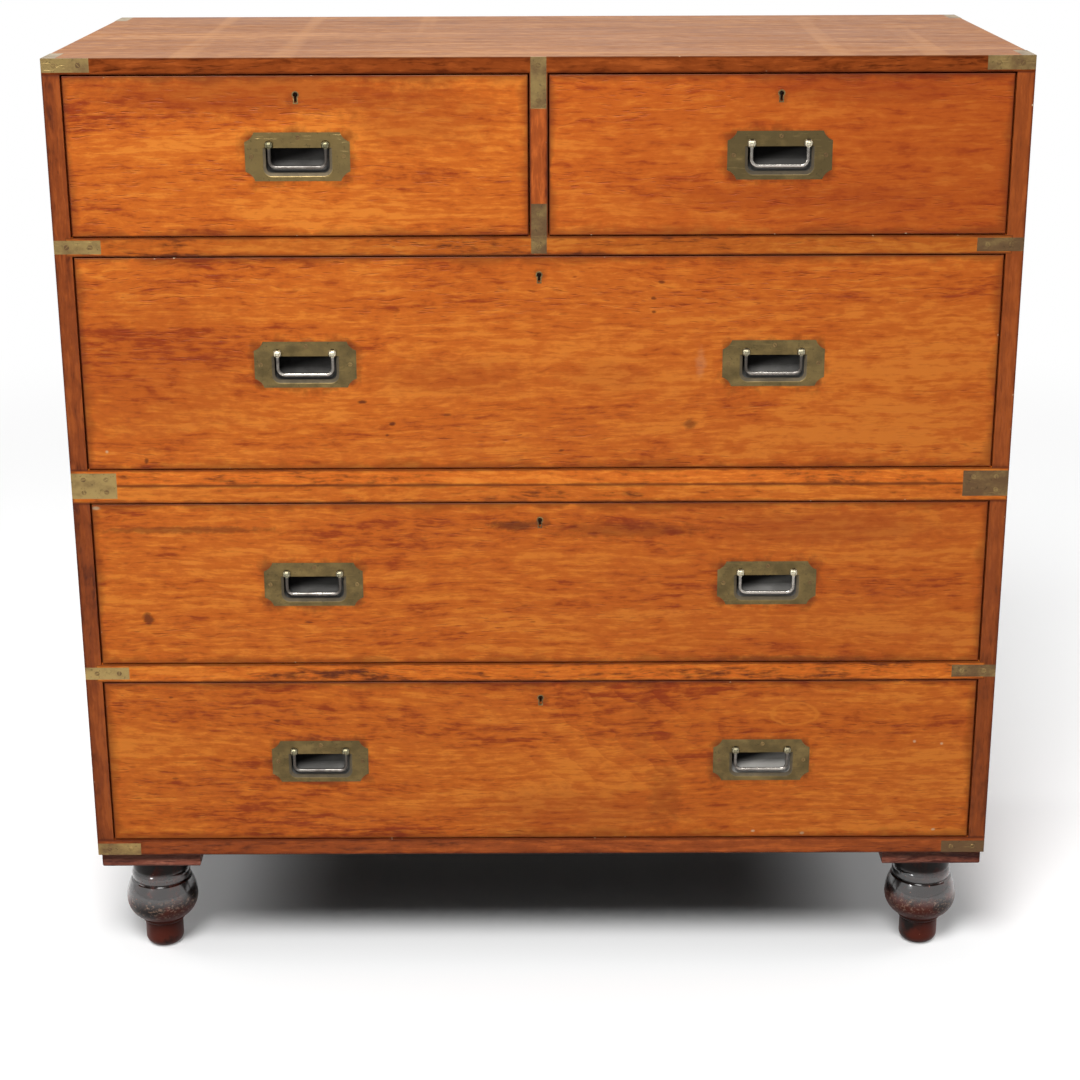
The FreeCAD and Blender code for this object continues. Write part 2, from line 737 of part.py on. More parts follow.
def bolt_mortise(name, x, level):
    """The slot over a lock that its bolt shoots into."""
    width, depth = "(bolt_width + 2 * bolt_clearance)", "(bolt_thickness + 2 * bolt_clearance)"
    y = f"{FACE} + front_thickness - (lock_thickness + {depth}) / 2"
    return box(
        name, f"({x}) - {width} / 2", y, level,
        width, depth, "bolt_throw - drawer_head_gap + bolt_clearance",
    )


def dowel_spots(level):
    x = "(case_width / 2 - dowel_inset)"
    front, rear = f"({FRONT} + dowel_inset)", f"({REAR} - dowel_inset)"
    return [(f"{side} * {x}", y, level, 0) for side in (-1, 1) for y in (front, rear)]


def short_centre(side):
    """The middle of a short drawer."""
    return f"({side} * ({INSIDE} + divider_thickness / 2) / 2)"


def lower_case(angle, carry_plate, carry_seat):
    straps = lower_straps(angle)
    plates = copies("lower_carrying", carry_plate, carrying_spots(LOWER_BASE, SEAM))
    node("lower_brass_mounts", together("lower_brass", [straps, plates]))
    back = carved("lower_back", back_panel("lower_back_blank", LOWER_BASE, LOWER_TOP), straps)
    node("lower_back_panel", back)
    cross_rail = rail("lower_rail_blank", LOWER_RAIL, "lower_rail_thickness")
    room = copies("lower_carrying_room", carry_seat, carrying_spots(LOWER_BASE, SEAM))
    sides = side_pair("lower_side", BOTTOM_ROW, LOWER_TOP, straps, back, cross_rail, room)
    node("lower_sides", sides)
    peg_height = "dowel_sink + dowel_rise"
    dowel = cylinder("dowel", "dowel_diameter", peg_height)
    dowels = node("locating_dowels", copies("dowels", dowel, dowel_spots(f"{SEAM} - dowel_sink")))
    top = full_board("lower_top_blank", LOWER_TOP, "lower_top_thickness")
    slot = bolt_mortise("third_slot", "0", LOWER_TOP)
    node("lower_top_board", carved("lower_top", top, straps, back, dowels, slot))
    depth = "case_depth - back_thickness"
    bottom = full_board("lower_bottom_blank", LOWER_BASE, "lower_bottom_thickness", depth)
    node("lower_bottom_board", carved("lower_bottom", bottom, straps))
    slot = bolt_mortise("bottom_slot", "0", LOWER_RAIL)
    node("lower_drawer_rail", carved("lower_rail", cross_rail, straps, slot))
    quarter = f"({INSIDE} / 2)"
    spots = [f"-{quarter}", quarter]
    parts = side_runners("lower_runner", LOWER_RAIL, "lower_rail_thickness")
    parts += [stops("third_stops", THIRD_ROW, spots), stops("bottom_stops", BOTTOM_ROW, spots)]
    node("lower_drawer_runners", together("lower_runners", parts))


def upper_case(angle, carry_plate, carry_seat):
    straps = upper_straps(angle)
    plates = copies("upper_carrying", carry_plate, carrying_spots(SEAM, SUMMIT))
    node("upper_brass_mounts", together("upper_brass", [straps, plates]))
    back = carved("upper_back", back_panel("upper_back_blank", SEAM, UPPER_TOP), straps)
    node("upper_back_panel", back)
    cross_rail = rail("upper_rail_blank", UPPER_RAIL, "upper_rail_thickness")
    room = copies("upper_carrying_room", carry_seat, carrying_spots(SEAM, SUMMIT))
    sides = side_pair("upper_side", SECOND_ROW, UPPER_TOP, straps, back, cross_rail, room)
    node("upper_sides", sides)
    lengths = ("case_width", "case_depth", "top_thickness")
    up = FreeCAD.Vector(0, 0, 1)
    top = eased_board("upper_top_blank", (LEFT, FRONT, UPPER_TOP), lengths, up, "top_ease")
    slots = [bolt_mortise("top_slot", short_centre(side), UPPER_TOP) for side in (-1, 1)]
    node("upper_top_board", carved("upper_top", top, straps, back, *slots))
    depth = "case_depth - back_thickness"
    bottom = full_board("upper_bottom_blank", SEAM, "upper_bottom_thickness", depth)
    hole = cylinder(
        "dowel_hole", "dowel_diameter + 2 * dowel_clearance", "dowel_rise + dowel_clearance"
    )
    holes = copies("dowel_holes", hole, dowel_spots(SEAM))
    node("upper_bottom_board", carved("upper_bottom", bottom, straps, holes))
    slot = bolt_mortise("second_slot", "0", UPPER_RAIL)
    node("upper_drawer_rail", carved("upper_rail", cross_rail, straps, slot))
    divider = box(
        "divider_blank", "-divider_thickness / 2", FRONT, TOP_ROW,
        "divider_thickness", "rail_depth", "top_row_height",
    )
    node("centre_divider", carved("divider", divider, straps))
    centre = runner(
        "centre_runner", "-centre_runner_width / 2", "centre_runner_width",
        UPPER_RAIL, "upper_rail_thickness",
    )
    guide = runner(
        "centre_guide", "-divider_thickness / 2", "divider_thickness", TOP_ROW, "guide_height"
    )
    quarter = f"({INSIDE} / 2)"
    short_spots = [
        f"{short_centre(side)} + {shift} * {INSIDE} / 4" for side in (-1, 1) for shift in (-1, 1)
    ]
    parts = side_runners("upper_runner", UPPER_RAIL, "upper_rail_thickness") + [centre, guide]
    parts += [
        stops("top_stops", TOP_ROW, short_spots),
        stops("second_stops", SECOND_ROW, [f"-{quarter}", quarter]),
    ]
    node("upper_drawer_runners", together("upper_runners", parts))


# ---------------------------------------------------------------------------------------------
# Feet
# ---------------------------------------------------------------------------------------------
def foot_spots(level):
    x = "(case_width / 2 - block_side_inset - block_width / 2)"
    inset = "(block_front_inset + block_width / 2)"
    front, rear = f"({FRONT} + {inset})", f"({REAR} - {inset})"
    return [(f"{side} * {x}", y, level, 0) for side in (-1, 1) for y in (front, rear)]


def swell_radius(widest, end, rise):
    """The radius of an arc that is upright where the turning is widest, and falls in to a
    smaller diameter over the rise."""
    fall = f"(({widest} - {end}) / 2)"
    return f"(({fall} ^ 2 + ({rise}) ^ 2) / (2 * {fall}))"


def turned_foot():
    """A bulb foot between a ringed neck and a long toe, with a spigot for its block."""
    body = new_body("foot_pattern")
    profile = sketch(body, "foot_profile", "XZ")
    incision = "foot_height - incision_drop"
    bulb = "foot_height - bulb_drop"
    bulb_end = "foot_height - bulb_end_drop"
    shoulder = "collar_diameter / 2 + incision_depth"
    cut = "collar_diameter - 2 * incision_depth"
    below = swell_radius("bulb_diameter", "bulb_end_diameter", "bulb_end_drop - bulb_drop")
    above = swell_radius(
        "bulb_diameter", f"2 * ({shoulder})", "bulb_drop - incision_drop - incision_depth"
    )
    ring_below = swell_radius("collar_diameter", f"({cut})", "incision_drop - collar_drop")
    ring_above = swell_radius("collar_diameter", "neck_diameter", "collar_drop - neck_length")
    toe_fall = "((toe_diameter - sole_diameter) / 2)"
    outline(
        profile,
        [
            ("0", "0"),
            ("sole_diameter / 2", "0", toe_fall, 1),
            ("toe_diameter / 2", toe_fall),
            ("toe_diameter / 2", "toe_length"),
            ("waist_diameter / 2", "foot_height - waist_drop", "bead_round", 1),
            ("bulb_end_diameter / 2", bulb_end, below, 1),
            ("bulb_diameter / 2", bulb, above, 1),
            (shoulder, f"{incision} - incision_depth"),
            (f"({cut}) / 2", incision, ring_below, 1),
            ("collar_diameter / 2", "foot_height - collar_drop", ring_above, 1),
            ("neck_diameter / 2", "foot_height - neck_length"),
            ("neck_diameter / 2", "foot_height"),
            ("spigot_diameter / 2", "foot_height"),
            ("spigot_diameter / 2", "foot_height + spigot_length"),
            ("0", "foot_height + spigot_length"),
        ],
    )
    turning = body.newObject("PartDesign::Revolution", "foot_turning")
    turning.Profile = profile
    turning.ReferenceAxis = (profile, ["V_Axis"])
    turning.Angle = 360
    return body


def foot_block():
    """A square block with its lower edges rounded and a blind socket for the foot's spigot."""
    body = new_body("block_pattern")
    square = sketch(body, "block_square", "XY")
    rectangle(square, "-block_width / 2", "-block_width / 2", "block_width", "block_width")
    slab = feature(body, "Pad", square, "block_thickness")
    doc.recompute()
    lowest = min(enumerate(slab.Shape.Faces, start=1), key=lambda face: face[1].CenterOfMass.z)
    rounding = body.newObject("PartDesign::Fillet", "block_rounding")
    rounding.Base = (slab, [f"Face{lowest[0]}"])
    bind(rounding, Radius="block_round")
    socket = sketch(body, "block_socket", "XY")
    circle(socket, "0", "0", "spigot_diameter + 2 * spigot_clearance")
    feature(body, "Pocket", socket, "spigot_length + spigot_clearance", backward=True)
    return body


def feet():
    node("foot_blocks", copies("blocks", foot_block(), foot_spots("foot_height")))
    node("turned_feet", copies("feet", turned_foot(), foot_spots("0")))


# ---------------------------------------------------------------------------------------------
# Drawers
# ---------------------------------------------------------------------------------------------
def dovetails(height):
    """The corners of a drawer side's front end, from its foot up: tails that reach into the
    drawer front and widen towards their ends."""
    room = f"({height} - drawer_foot_gap - 2 * dovetail_margin)"
    count = max(2, round(number(room) / number("dovetail_pitch")))
    tail = f"(({room} - {count - 1} * dovetail_pin) / {count})"
    corners = []
    for i in range(count):
        root = f"(drawer_foot_gap + dovetail_margin + {i} * ({tail} + dovetail_pin))"
        corners += [
            ("front_thickness", f"{root} + dovetail_flare"),
            ("dovetail_lap", root),
            ("dovetail_lap", f"{root} + {tail}"),
            ("front_thickness", f"{root} + {tail} - dovetail_flare"),
        ]
    return corners


def drawer_side(name, height):
    """The left side of a drawer, from the drawer's lower left corner: dovetailed into the front
    and grooved for the bottom."""
    body = new_body(f"{name}_side")
    shape = sketch(body, f"{name}_side_shape", "YZ")
    ends = [
        ("front_thickness", height),
        (DRAWER_LENGTH, height),
        (DRAWER_LENGTH, "0"),
        ("front_thickness", "0"),
    ]
    outline(shape, dovetails(height) + ends)
    feature(body, "Pad", shape, "lining_thickness")
    slot = sketch(body, f"{name}_side_slot", "YZ", "lining_thickness")
    rectangle(
        slot, "front_thickness", "panel_height",
        f"{DRAWER_LENGTH} - front_thickness", "panel_thickness",
    )
    feature(body, "Pocket", slot, "groove_depth")
    return body


def keyhole_outline(drawing, grow):
    """A round hole with a slot below it, grown by the wall of the thread round it."""
    half = f"(key_slot_width / 2 + {grow})"
    radius = f"(key_diameter / 2 + {grow})"
    meet = f"-sqrt({radius} ^ 2 - {half} ^ 2)"
    foot = f"-(key_slot_length + {grow})"
    top = radius
    outline(
        drawing,
        [
            (half, meet, radius, 1),
            (radius, "0", radius, 1),
            ("0", top, radius, 1),
            (f"-{radius}", "0", radius, 1),
            (f"-{half}", meet),
            (f"-{half}", foot),
            (half, foot),
        ],
    )


def escutcheon():
    """The brass thread let in round a keyhole, from the middle of the hole's round part."""
    body = new_body("escutcheon")
    rim = sketch(body, "escutcheon_rim", "XZ")
    keyhole_outline(rim, "escutcheon_wall")
    feature(body, "Pad", rim, "escutcheon_depth", backward=True)
    hole = sketch(body, "escutcheon_hole", "XZ")
    keyhole_outline(hole, "0")
    feature(body, "Pocket", hole, "2 * escutcheon_depth", symmetric=True)
    return body


def keyhole():
    """The wood that a keyhole and its thread take out, from the face to the lock."""
    body = new_body("keyhole")
    rim = sketch(body, "keyhole_rim", "XZ")
    keyhole_outline(rim, "escutcheon_wall")
    feature(body, "Pad", rim, "escutcheon_depth", backward=True)
    hole = sketch(body, "keyhole_shaft", "XZ")
    keyhole_outline(hole, "0")
    feature(body, "Pad", hole, "front_thickness - lock_thickness", backward=True)
    return body


def lock_body():
    """A lock with its selvedge plate, before its bolt's slot is cut. The origin is the middle
    of the selvedge's top, on the drawer front's inner face."""
    case = box(
        "lock_case", "-lock_width / 2", "-lock_thickness", "-lock_height",
        "lock_width", "lock_thickness", "lock_height",
    )
    plate = box(
        "lock_selvedge", "-selvedge_width / 2", "-lock_thickness", "-selvedge_thickness",
        "selvedge_width", "lock_thickness", "selvedge_thickness",
    )
    return joined("lock_body", [case, plate])


def lock_slot():
    width, depth = "(bolt_width + 2 * bolt_clearance)", "(bolt_thickness + 2 * bolt_clearance)"
    drop = "bolt_height + bolt_clearance"
    return box(
        "lock_slot", f"-{width} / 2", f"-(lock_thickness + {depth}) / 2", f"-({drop})",
        width, depth, drop,
    )


def lock_bolt():
    y = "-(lock_thickness + bolt_thickness) / 2"
    return box(
        "lock_bolt", "-bolt_width / 2", y, "-bolt_height",
        "bolt_width", "bolt_thickness", "bolt_height",
    )


def drawer(name, level, opening, middle, width, pulls, patterns):
    """A drawer in an opening: its level, its height, its middle and its width, and how far its
    pulls stand from its middle."""
    left = f"({middle} - ({width}) / 2 + drawer_side_gap)"
    span = f"({width} - 2 * drawer_side_gap)"
    head = f"({level} + {opening} - drawer_head_gap)"
    front_height = f"({opening} - drawer_head_gap - drawer_foot_gap)"
    side_height = f"({opening} - drawer_head_gap - lining_drop)"

    side = drawer_side(name, side_height)
    place(side, left, FACE, level)
    other = mirrored(f"{name}_other_side", side, x=middle)
    back_y = f"({DRAWER_LENGTH} - drawer_back_inset - drawer_back_thickness)"
    over_panel = "(panel_height + panel_thickness)"
    back = box(
        f"{name}_back", f"{left} + lining_thickness", f"{FACE} + {back_y}",
        f"{level} + {over_panel}", f"{span} - 2 * lining_thickness", "drawer_back_thickness",
        f"{side_height} - drawer_back_drop - {over_panel}",
    )
    node(f"{name}_box", together(f"{name}_carcase", [side, other, back]))

    inset = "(lining_thickness - groove_depth)"
    panel_y = "(front_thickness - groove_depth)"
    panel_blank = box(
        f"{name}_panel_blank", f"{left} + {inset}", f"{FACE} + {panel_y}",
        f"{level} + panel_height",
        f"{span} - 2 * {inset}", f"{DRAWER_LENGTH} - {panel_y}", "panel_thickness",
    )
    sides = together(f"{name}_sides", [side, other])
    panel = node(f"{name}_bottom", carved(f"{name}_panel", panel_blank, sides))

    inner = f"{FACE} + front_thickness"
    lock_spot = [(middle, inner, head, 0)]
    lock_room = copies(f"{name}_lock_room", patterns["lock_body"], lock_spot)
    slot = copies(f"{name}_lock_slot", patterns["lock_slot"], lock_spot)
    lock = carved(f"{name}_lock_case", lock_room, slot)
    key = (middle, FACE, f"{head} - key_drop", 0)
    thread = copies(f"{name}_thread", patterns["escutcheon"], [key])
    node(f"{name}_lock", together(f"{name}_lock_set", [lock, thread]))
    node(f"{name}_lock_bolt", copies(f"{name}_bolt", patterns["bolt"], lock_spot))

    centre_height = f"({level} + drawer_foot_gap + {front_height} / 2)"
    spots = [(f"{middle} + ({shift})", FACE, centre_height, 0) for _, shift in pulls]
    node(f"{name}_pull_plates", copies(f"{name}_plates", patterns["pull_plate"], spots))
    for (bail_name, _), (x, y, z, turn) in zip(pulls, spots):
        hang = (x, y, f"{z} + {pivot_height('pull')}", turn)
        node(bail_name, copies(f"{bail_name}_set", patterns["pull_bail"], [hang]))

    blank = eased_board(
        f"{name}_front_blank", (left, FACE, f"{level} + drawer_foot_gap"),
        (span, "front_thickness", front_height), FreeCAD.Vector(0, -1, 0), "front_ease",
    )
    hole = copies(f"{name}_keyhole", patterns["keyhole"], [key])
    rooms = copies(f"{name}_pull_room", patterns["pull_seat"], spots)
    node(f"{name}_front", carved(f"{name}_face", blank, sides, panel, lock_room, hole, rooms))


def drawers(patterns):
    short_width = f"({INSIDE} - divider_thickness / 2)"
    long_width = f"(2 * {INSIDE})"
    for side, where in ((-1, "left"), (1, "right")):
        name = f"top_{where}_drawer"
        pulls = [(f"top_{where}_bail", "0")]
        middle = short_centre(side)
        drawer(name, TOP_ROW, "top_row_height", middle, short_width, pulls, patterns)
    rows = [
        ("second", SECOND_ROW, "second_row_height"),
        ("third", THIRD_ROW, "third_row_height"),
        ("bottom", BOTTOM_ROW, "bottom_row_height"),
    ]
    for row, level, opening in rows:
        pulls = [(f"{row}_left_bail", "-pull_offset"), (f"{row}_right_bail", "pull_offset")]
        drawer(f"{row}_drawer", level, opening, "0", long_width, pulls, patterns)


def carrying_bails(pattern):
    for section, low, high in (("lower", LOWER_BASE, SEAM), ("upper", SEAM, SUMMIT)):
        for where, (x, y, z, turn) in zip(("left", "right"), carrying_spots(low, high)):
            hang = (x, y, f"{z} + {pivot_height('carry')}", turn)
            label = f"{section}_{where}_carrying_bail"
            node(label, copies(f"{label}_set", pattern, [hang]))


def check(thing):
    """Stops the build where an object failed or a sub-part has no sound shape."""
    if {"Invalid", "Error"} & set(thing.State):
        raise RuntimeError(f"{thing.Label} failed: {thing.State}")
    if thing in NODES.values():
        shape = thing.Shape
        if shape.isNull() or not shape.isValid() or not shape.Solids:
            raise RuntimeError(f"{thing.Label} has no sound shape")


def main():
    strap = angle_strap()
    carry_plate, carry_seat = handle_plate("carry"), handle_seat("carry")
    lower_case(strap, carry_plate, carry_seat)
    upper_case(strap, carry_plate, carry_seat)
    feet()
    patterns = {
        "pull_plate": handle_plate("pull"),
        "pull_seat": handle_seat("pull"),
        "pull_bail": bail("pull"),
        "escutcheon": escutcheon(),
        "keyhole": keyhole(),
        "lock_body": lock_body(),
        "lock_slot": lock_slot(),
        "bolt": lock_bolt(),
    }
    drawers(patterns)
    carrying_bails(bail("carry"))
    doc.recompute()
    for thing in doc.Objects:
        check(thing)
    os.makedirs("parts", exist_ok=True)
    for label, thing in NODES.items():
        thing.Shape.exportStep(f"parts/{label}.step")


main()
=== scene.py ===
"""Finishes, screws and stage for a two-part campaign chest, laid out as a Blender add-on."""

import math
import random

import bmesh
import bpy
from bpy.props import FloatProperty, FloatVectorProperty, IntProperty, PointerProperty
from mathutils import Matrix, Vector


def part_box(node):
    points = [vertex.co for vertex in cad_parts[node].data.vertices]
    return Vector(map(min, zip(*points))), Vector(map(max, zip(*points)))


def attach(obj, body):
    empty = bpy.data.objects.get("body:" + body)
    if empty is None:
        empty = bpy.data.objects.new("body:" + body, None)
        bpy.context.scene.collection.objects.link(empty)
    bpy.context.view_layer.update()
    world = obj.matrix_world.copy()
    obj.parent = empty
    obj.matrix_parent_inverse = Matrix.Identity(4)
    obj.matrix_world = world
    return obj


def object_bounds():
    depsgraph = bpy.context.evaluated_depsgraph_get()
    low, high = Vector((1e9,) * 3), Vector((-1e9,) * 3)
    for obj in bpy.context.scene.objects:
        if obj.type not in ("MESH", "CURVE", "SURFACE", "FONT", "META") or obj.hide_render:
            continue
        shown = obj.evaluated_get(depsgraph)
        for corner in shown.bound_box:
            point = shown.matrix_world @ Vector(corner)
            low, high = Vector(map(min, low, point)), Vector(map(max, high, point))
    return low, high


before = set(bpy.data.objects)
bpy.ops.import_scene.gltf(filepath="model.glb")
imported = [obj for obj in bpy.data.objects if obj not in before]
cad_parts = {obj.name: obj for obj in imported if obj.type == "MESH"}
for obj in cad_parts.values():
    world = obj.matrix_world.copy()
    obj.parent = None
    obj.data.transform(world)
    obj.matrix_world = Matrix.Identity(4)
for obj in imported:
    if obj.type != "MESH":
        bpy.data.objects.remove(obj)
CAD_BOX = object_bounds()

bl_info = {
    "name": "Campaign Chest",
    "version": (1, 0, 0),
    "blender": (4, 5, 0),
    "location": "View3D > Sidebar > Chest",
    "description": "Finishes, screws and stage for a brass-bound campaign chest",
    "category": "Object",
}

MM = 0.001
DRAWERS = ("top_left", "top_right", "second", "third", "bottom")
LONG_DRAWERS = DRAWERS[2:]

# where the drawer fronts' faces are, along y
FRONT_FACE = -.225
# half the width of a pull plate, and how far inside its edge the grime round it starts
PLATE_HALF = .053
GRIME_INSET = .008
# how far a carrying handle stands out of a side
HANDLE_PROUD = .00525
# a carrying plate's middle below the top of its bail
HANDLE_DROP = .0201
# screws of a carrying plate and of a pull plate, across and up from its middle
CARRY_SCREWS = ((-.056, 0), (.056, 0), (0, .0235), (-.03, -.0235), (.03, -.0235))
PULL_SCREWS = ((-.0465, 0), (.0465, 0), (.001, .0192))
# a divider strap's screws, above and below its middle, as shares of its length
DIVIDER_SCREWS = (-.34, .34)
# the floor's radius, and the point that the lights are aimed at
FLOOR_RADIUS = 12
LIGHTS_AIM = Vector((0, 0, .5))

# Where a finish comes in: it is nothing at the first number and full at the second.
# Up from the top of the top board, out from a board's end, up from the bottom board
TOP_FADED_AND_REFLECTING = (-.0012, -.0002)
BOARD_END = (-.0012, -.0001)
UNDERSIDE_DUST_AND_SHADE = (.0004, .0001)
# Back from the face of a board or of a drawer front
EDGE_GRIME_AND_SHADE = (.003, .0015)
PULL_LIP = (.0001, .0005)
PULL_INSIDE = (.0016, .003)
PULL_KNUCKLES = (-.0004, -.001)
LOCK_INSIDE = (.0015, .004)
# Up from the bottom and from the top of a bail
BAIL_GRIP = (.005, .003)
BAIL_EYES = (-.0082, -.0066)
# Up from a pull's middle, on the floors of the cups: the edge of the painted shadow under
# the top of the hand hole, which reaches lower on the left
CUP_SHADOW_EDGE = (.0035, -.0075)
# Up from the floor, on a foot: worn towards its toe, specks in a belt, a shiny bulb
TOE_WORN = (.078, .035)
BELT_TOP, BELT_FOOT = (.072, .062), (.038, .05)
BULB_TOP, BULB_FOOT = (.1, .094), (.054, .072)
# Along y and out from the middle: the floor shows white far from the chest, and before the
# chest it glows partly white, painted light on the front edge of its shade
FLOOR_FRONT = (-.1, -.26)
FLOOR_FAR = (1.3, 3.0)


# Settings

def paint(red, green, blue):
    """A colour given as screen values from 0 to 255, as Blender's linear numbers."""
    def linear(value):
        value /= 255
        return value / 12.92 if value <= 0.04045 else ((value + 0.055) / 1.055) ** 2.4
    return tuple(linear(value) for value in (red, green, blue))


def colour(name, description, *values):
    return FloatVectorProperty(
        name=name, description=description, default=paint(*values),
        subtype="COLOR", size=3, min=0, max=1)


def length(name, description, millimetres):
    return FloatProperty(
        name=name, description=description, default=millimetres * MM,
        unit="LENGTH", subtype="DISTANCE", min=0)


def amount(name, description, default, low=0.0, high=2.0):
    return FloatProperty(name=name, description=description, default=default, min=low, max=high)


class ChestTimber(bpy.types.PropertyGroup):
    """Colours and grain of the polished and the plain wood"""
    front_pale: colour("Front, pale", "Palest grain of the drawer fronts", 232, 134, 49)
    front_mid: colour("Front, middle", "Usual colour of the drawer fronts", 209, 106, 34)
    front_dark: colour("Front, dark", "Darkest streaks of the drawer fronts", 154, 60, 20)
    case_pale: colour("Case, pale", "Palest grain of the case", 178, 90, 38)
    case_mid: colour("Case, middle", "Usual colour of the case", 148, 70, 28)
    case_dark: colour("Case, dark", "Darkest streaks of the case", 92, 38, 14)
    # The top's colours: sun-faded wood, painted paler also as the sky's reflection on the top.
    top_pale: colour("Top, pale", "Palest grain of the bleached top", 170, 117, 68)
    top_mid: colour("Top, middle", "Usual colour of the bleached top", 142, 88, 42)
    top_dark: colour("Top, dark", "Darkest streaks of the bleached top", 112, 64, 30)
    plain_pale: colour("Plain, pale", "Palest grain of linings and backs", 206, 162, 106)
    plain_mid: colour("Plain, middle", "Usual colour of linings and backs", 176, 126, 76)
    plain_dark: colour("Plain, dark", "Darkest streaks of linings and backs", 116, 76, 42)
    # Grime: old polish and dirt, which along the edges also stands in as painted shade of the
    # gaps and bevels; it colours the dark marks and the halos round the plates too.
    grime: colour("Grime", "Old polish and dirt along the edges", 78, 28, 12)
    chip: colour("Chip", "Bare wood where an edge is chipped", 236, 206, 164)
    # Dusty wood under the chest, painted dark grey also as painted shade, so that the floor
    # below takes little coloured light from it.
    underside_dust_and_shade: colour("Underside", "Dark, dusty wood under the chest", 44, 40, 37)
    polish: amount("Polish", "Strength of the clear polish", 0.07)
    sheen: amount("Sheen", "How much the bare wood reflects", 0.16)


class ChestMetal(bpy.types.PropertyGroup):
    """Colours of the brass and the iron"""
    # Strap colours: rubbed and dull brass, mixed also as painted light, brighter towards the
    # left.
    strap_bright: colour("Strap, bright", "Straps where they are rubbed", 158, 133, 82)
    strap_dull: colour("Strap, dull", "Straps where they are brown", 100, 75, 49)
    plate_bright: colour("Plate, bright", "Pull plates where they are rubbed", 127, 107, 66)
    plate_dull: colour("Plate, dull", "Pull plates where they are olive", 88, 74, 45)
    lip: colour("Lip", "Bevel round the hand holes, rubbed by fingers", 106, 98, 86)
    # Painted light and shade in the cups: a lit floor, and blackened metal in painted shadow
    # under the top of the hand hole; the dark colour also gives the bails their spots.
    painted_cup: colour("Cup", "Rubbed floor of the cups", 178, 175, 170)
    cup_shadow_and_bail_spots: colour("Cup, dark", "Blackened cups under the top of the hand hole", 16, 14, 13)
    bail_bright: colour("Bail, bright", "Bails where hands rub them", 168, 162, 154)
    bail_dull: colour("Bail, dull", "Bails in their corners", 78, 73, 68)
    knuckle_olive: colour("Knuckle, olive", "Tarnished knuckles", 100, 95, 66)
    knuckle_pale: colour("Knuckle, pale", "Rubbed knuckles", 196, 188, 164)
    iron_bright: colour("Iron, bright", "Lock cases and bolts", 128, 122, 116)
    iron_dull: colour("Iron, dull", "Lock cases and bolts where they rust", 70, 54, 44)
    verdigris: colour("Tarnish spots", "Dark spots on the brass", 52, 46, 30)


class ChestFeet(bpy.types.PropertyGroup):
    """Colours of the turned feet and their blocks"""
    black: colour("Black polish", "Ebonised feet", 30, 20, 17)
    worn: colour("Worn wood", "Red-brown wood where the black is rubbed off", 98, 40, 27)
    speck: colour("Specks", "Bare wood in the deepest wear", 180, 146, 124)
    block_pale: colour("Block, pale", "Palest grain of the foot blocks", 182, 120, 98)
    block_mid: colour("Block, middle", "Usual colour of the foot blocks", 140, 80, 62)
    block_dark: colour("Block, dark", "Darkest streaks of the foot blocks", 66, 30, 24)


class ChestScrews(bpy.types.PropertyGroup):
    """Sizes and places of the slotted screws"""
    strap_head: length("Strap screw head", "Diameter of a strap's screws", 5.4)
    plate_head: length("Plate screw head", "Diameter of a pull plate's screws", 4.6)
    carry_head: length(
        "Carrying plate screw head", "Diameter of a carrying plate's screws", 6.6)
    slot_share: amount("Slot", "Slot's width as a share of the head", 0.17, 0.05, 0.4)
    proud: length("Proud", "How far a head stands over the brass", 0.25)
    first: length("First screw", "Screw nearest a corner, from the corner", 13)
    pitch: length("Pitch", "Between two screws in a strap", 24)
    strap_height: length("Strap height", "Height of the brass straps", 14)
    divider_strap: length("Divider strap", "Length of the divider's straps", 51)
    seed: IntProperty(name="Seed", description="Turns the slots another way", default=7)


class ChestStage(bpy.types.PropertyGroup):
    """Floor, light and camera"""
    lens: FloatProperty(
        name="Lens", description="Focal length on a 36 mm wide sensor",
        default=73.13, unit="CAMERA", min=1)
    distance: length("Camera distance", "Camera in front of the chest's middle", 2444)
    height: length("Camera height", "Camera over the chest's top", 232.3)
    pitch: FloatProperty(
        name="Tilt", description="Camera's tilt down", default=math.radians(18.4),
        subtype="ANGLE", unit="ROTATION")
    roll: FloatProperty(
        name="Roll", description="Camera's turn about its own axis",
        default=math.radians(-0.2), subtype="ANGLE", unit="ROTATION")
    floor: colour("Floor", "Plain pale floor", 252, 252, 252)
    bounce: colour("Floor's bounce", "Floor as the chest is lit by it", 54, 57, 60)
    zenith: amount("Zenith", "Soft light from straight above", 0.5, 0, 4)
    horizon: amount("Horizon", "Soft light from low down", 0.0, 0, 4)
    key: FloatProperty(name="Key light", description="Large soft light", default=178, min=0)
    key_size: length("Key light size", "Diameter of the key light", 1700)
    fill: FloatProperty(name="Fill lights", description="Soft side lights", default=34, min=0)
    fill_size: length("Fill light size", "Diameter of the fill lights", 1600)
    glint: FloatProperty(
        name="Glint", description="Small low light, seen only in reflections", default=15,
        min=0)
    glint_size: length("Glint size", "Diameter of the small low light", 500)


SETTINGS = {
    "chest_timber": ChestTimber,
    "chest_metal": ChestMetal,
    "chest_feet": ChestFeet,
    "chest_screws": ChestScrews,
    "chest_stage": ChestStage,
}


# Shader nodes

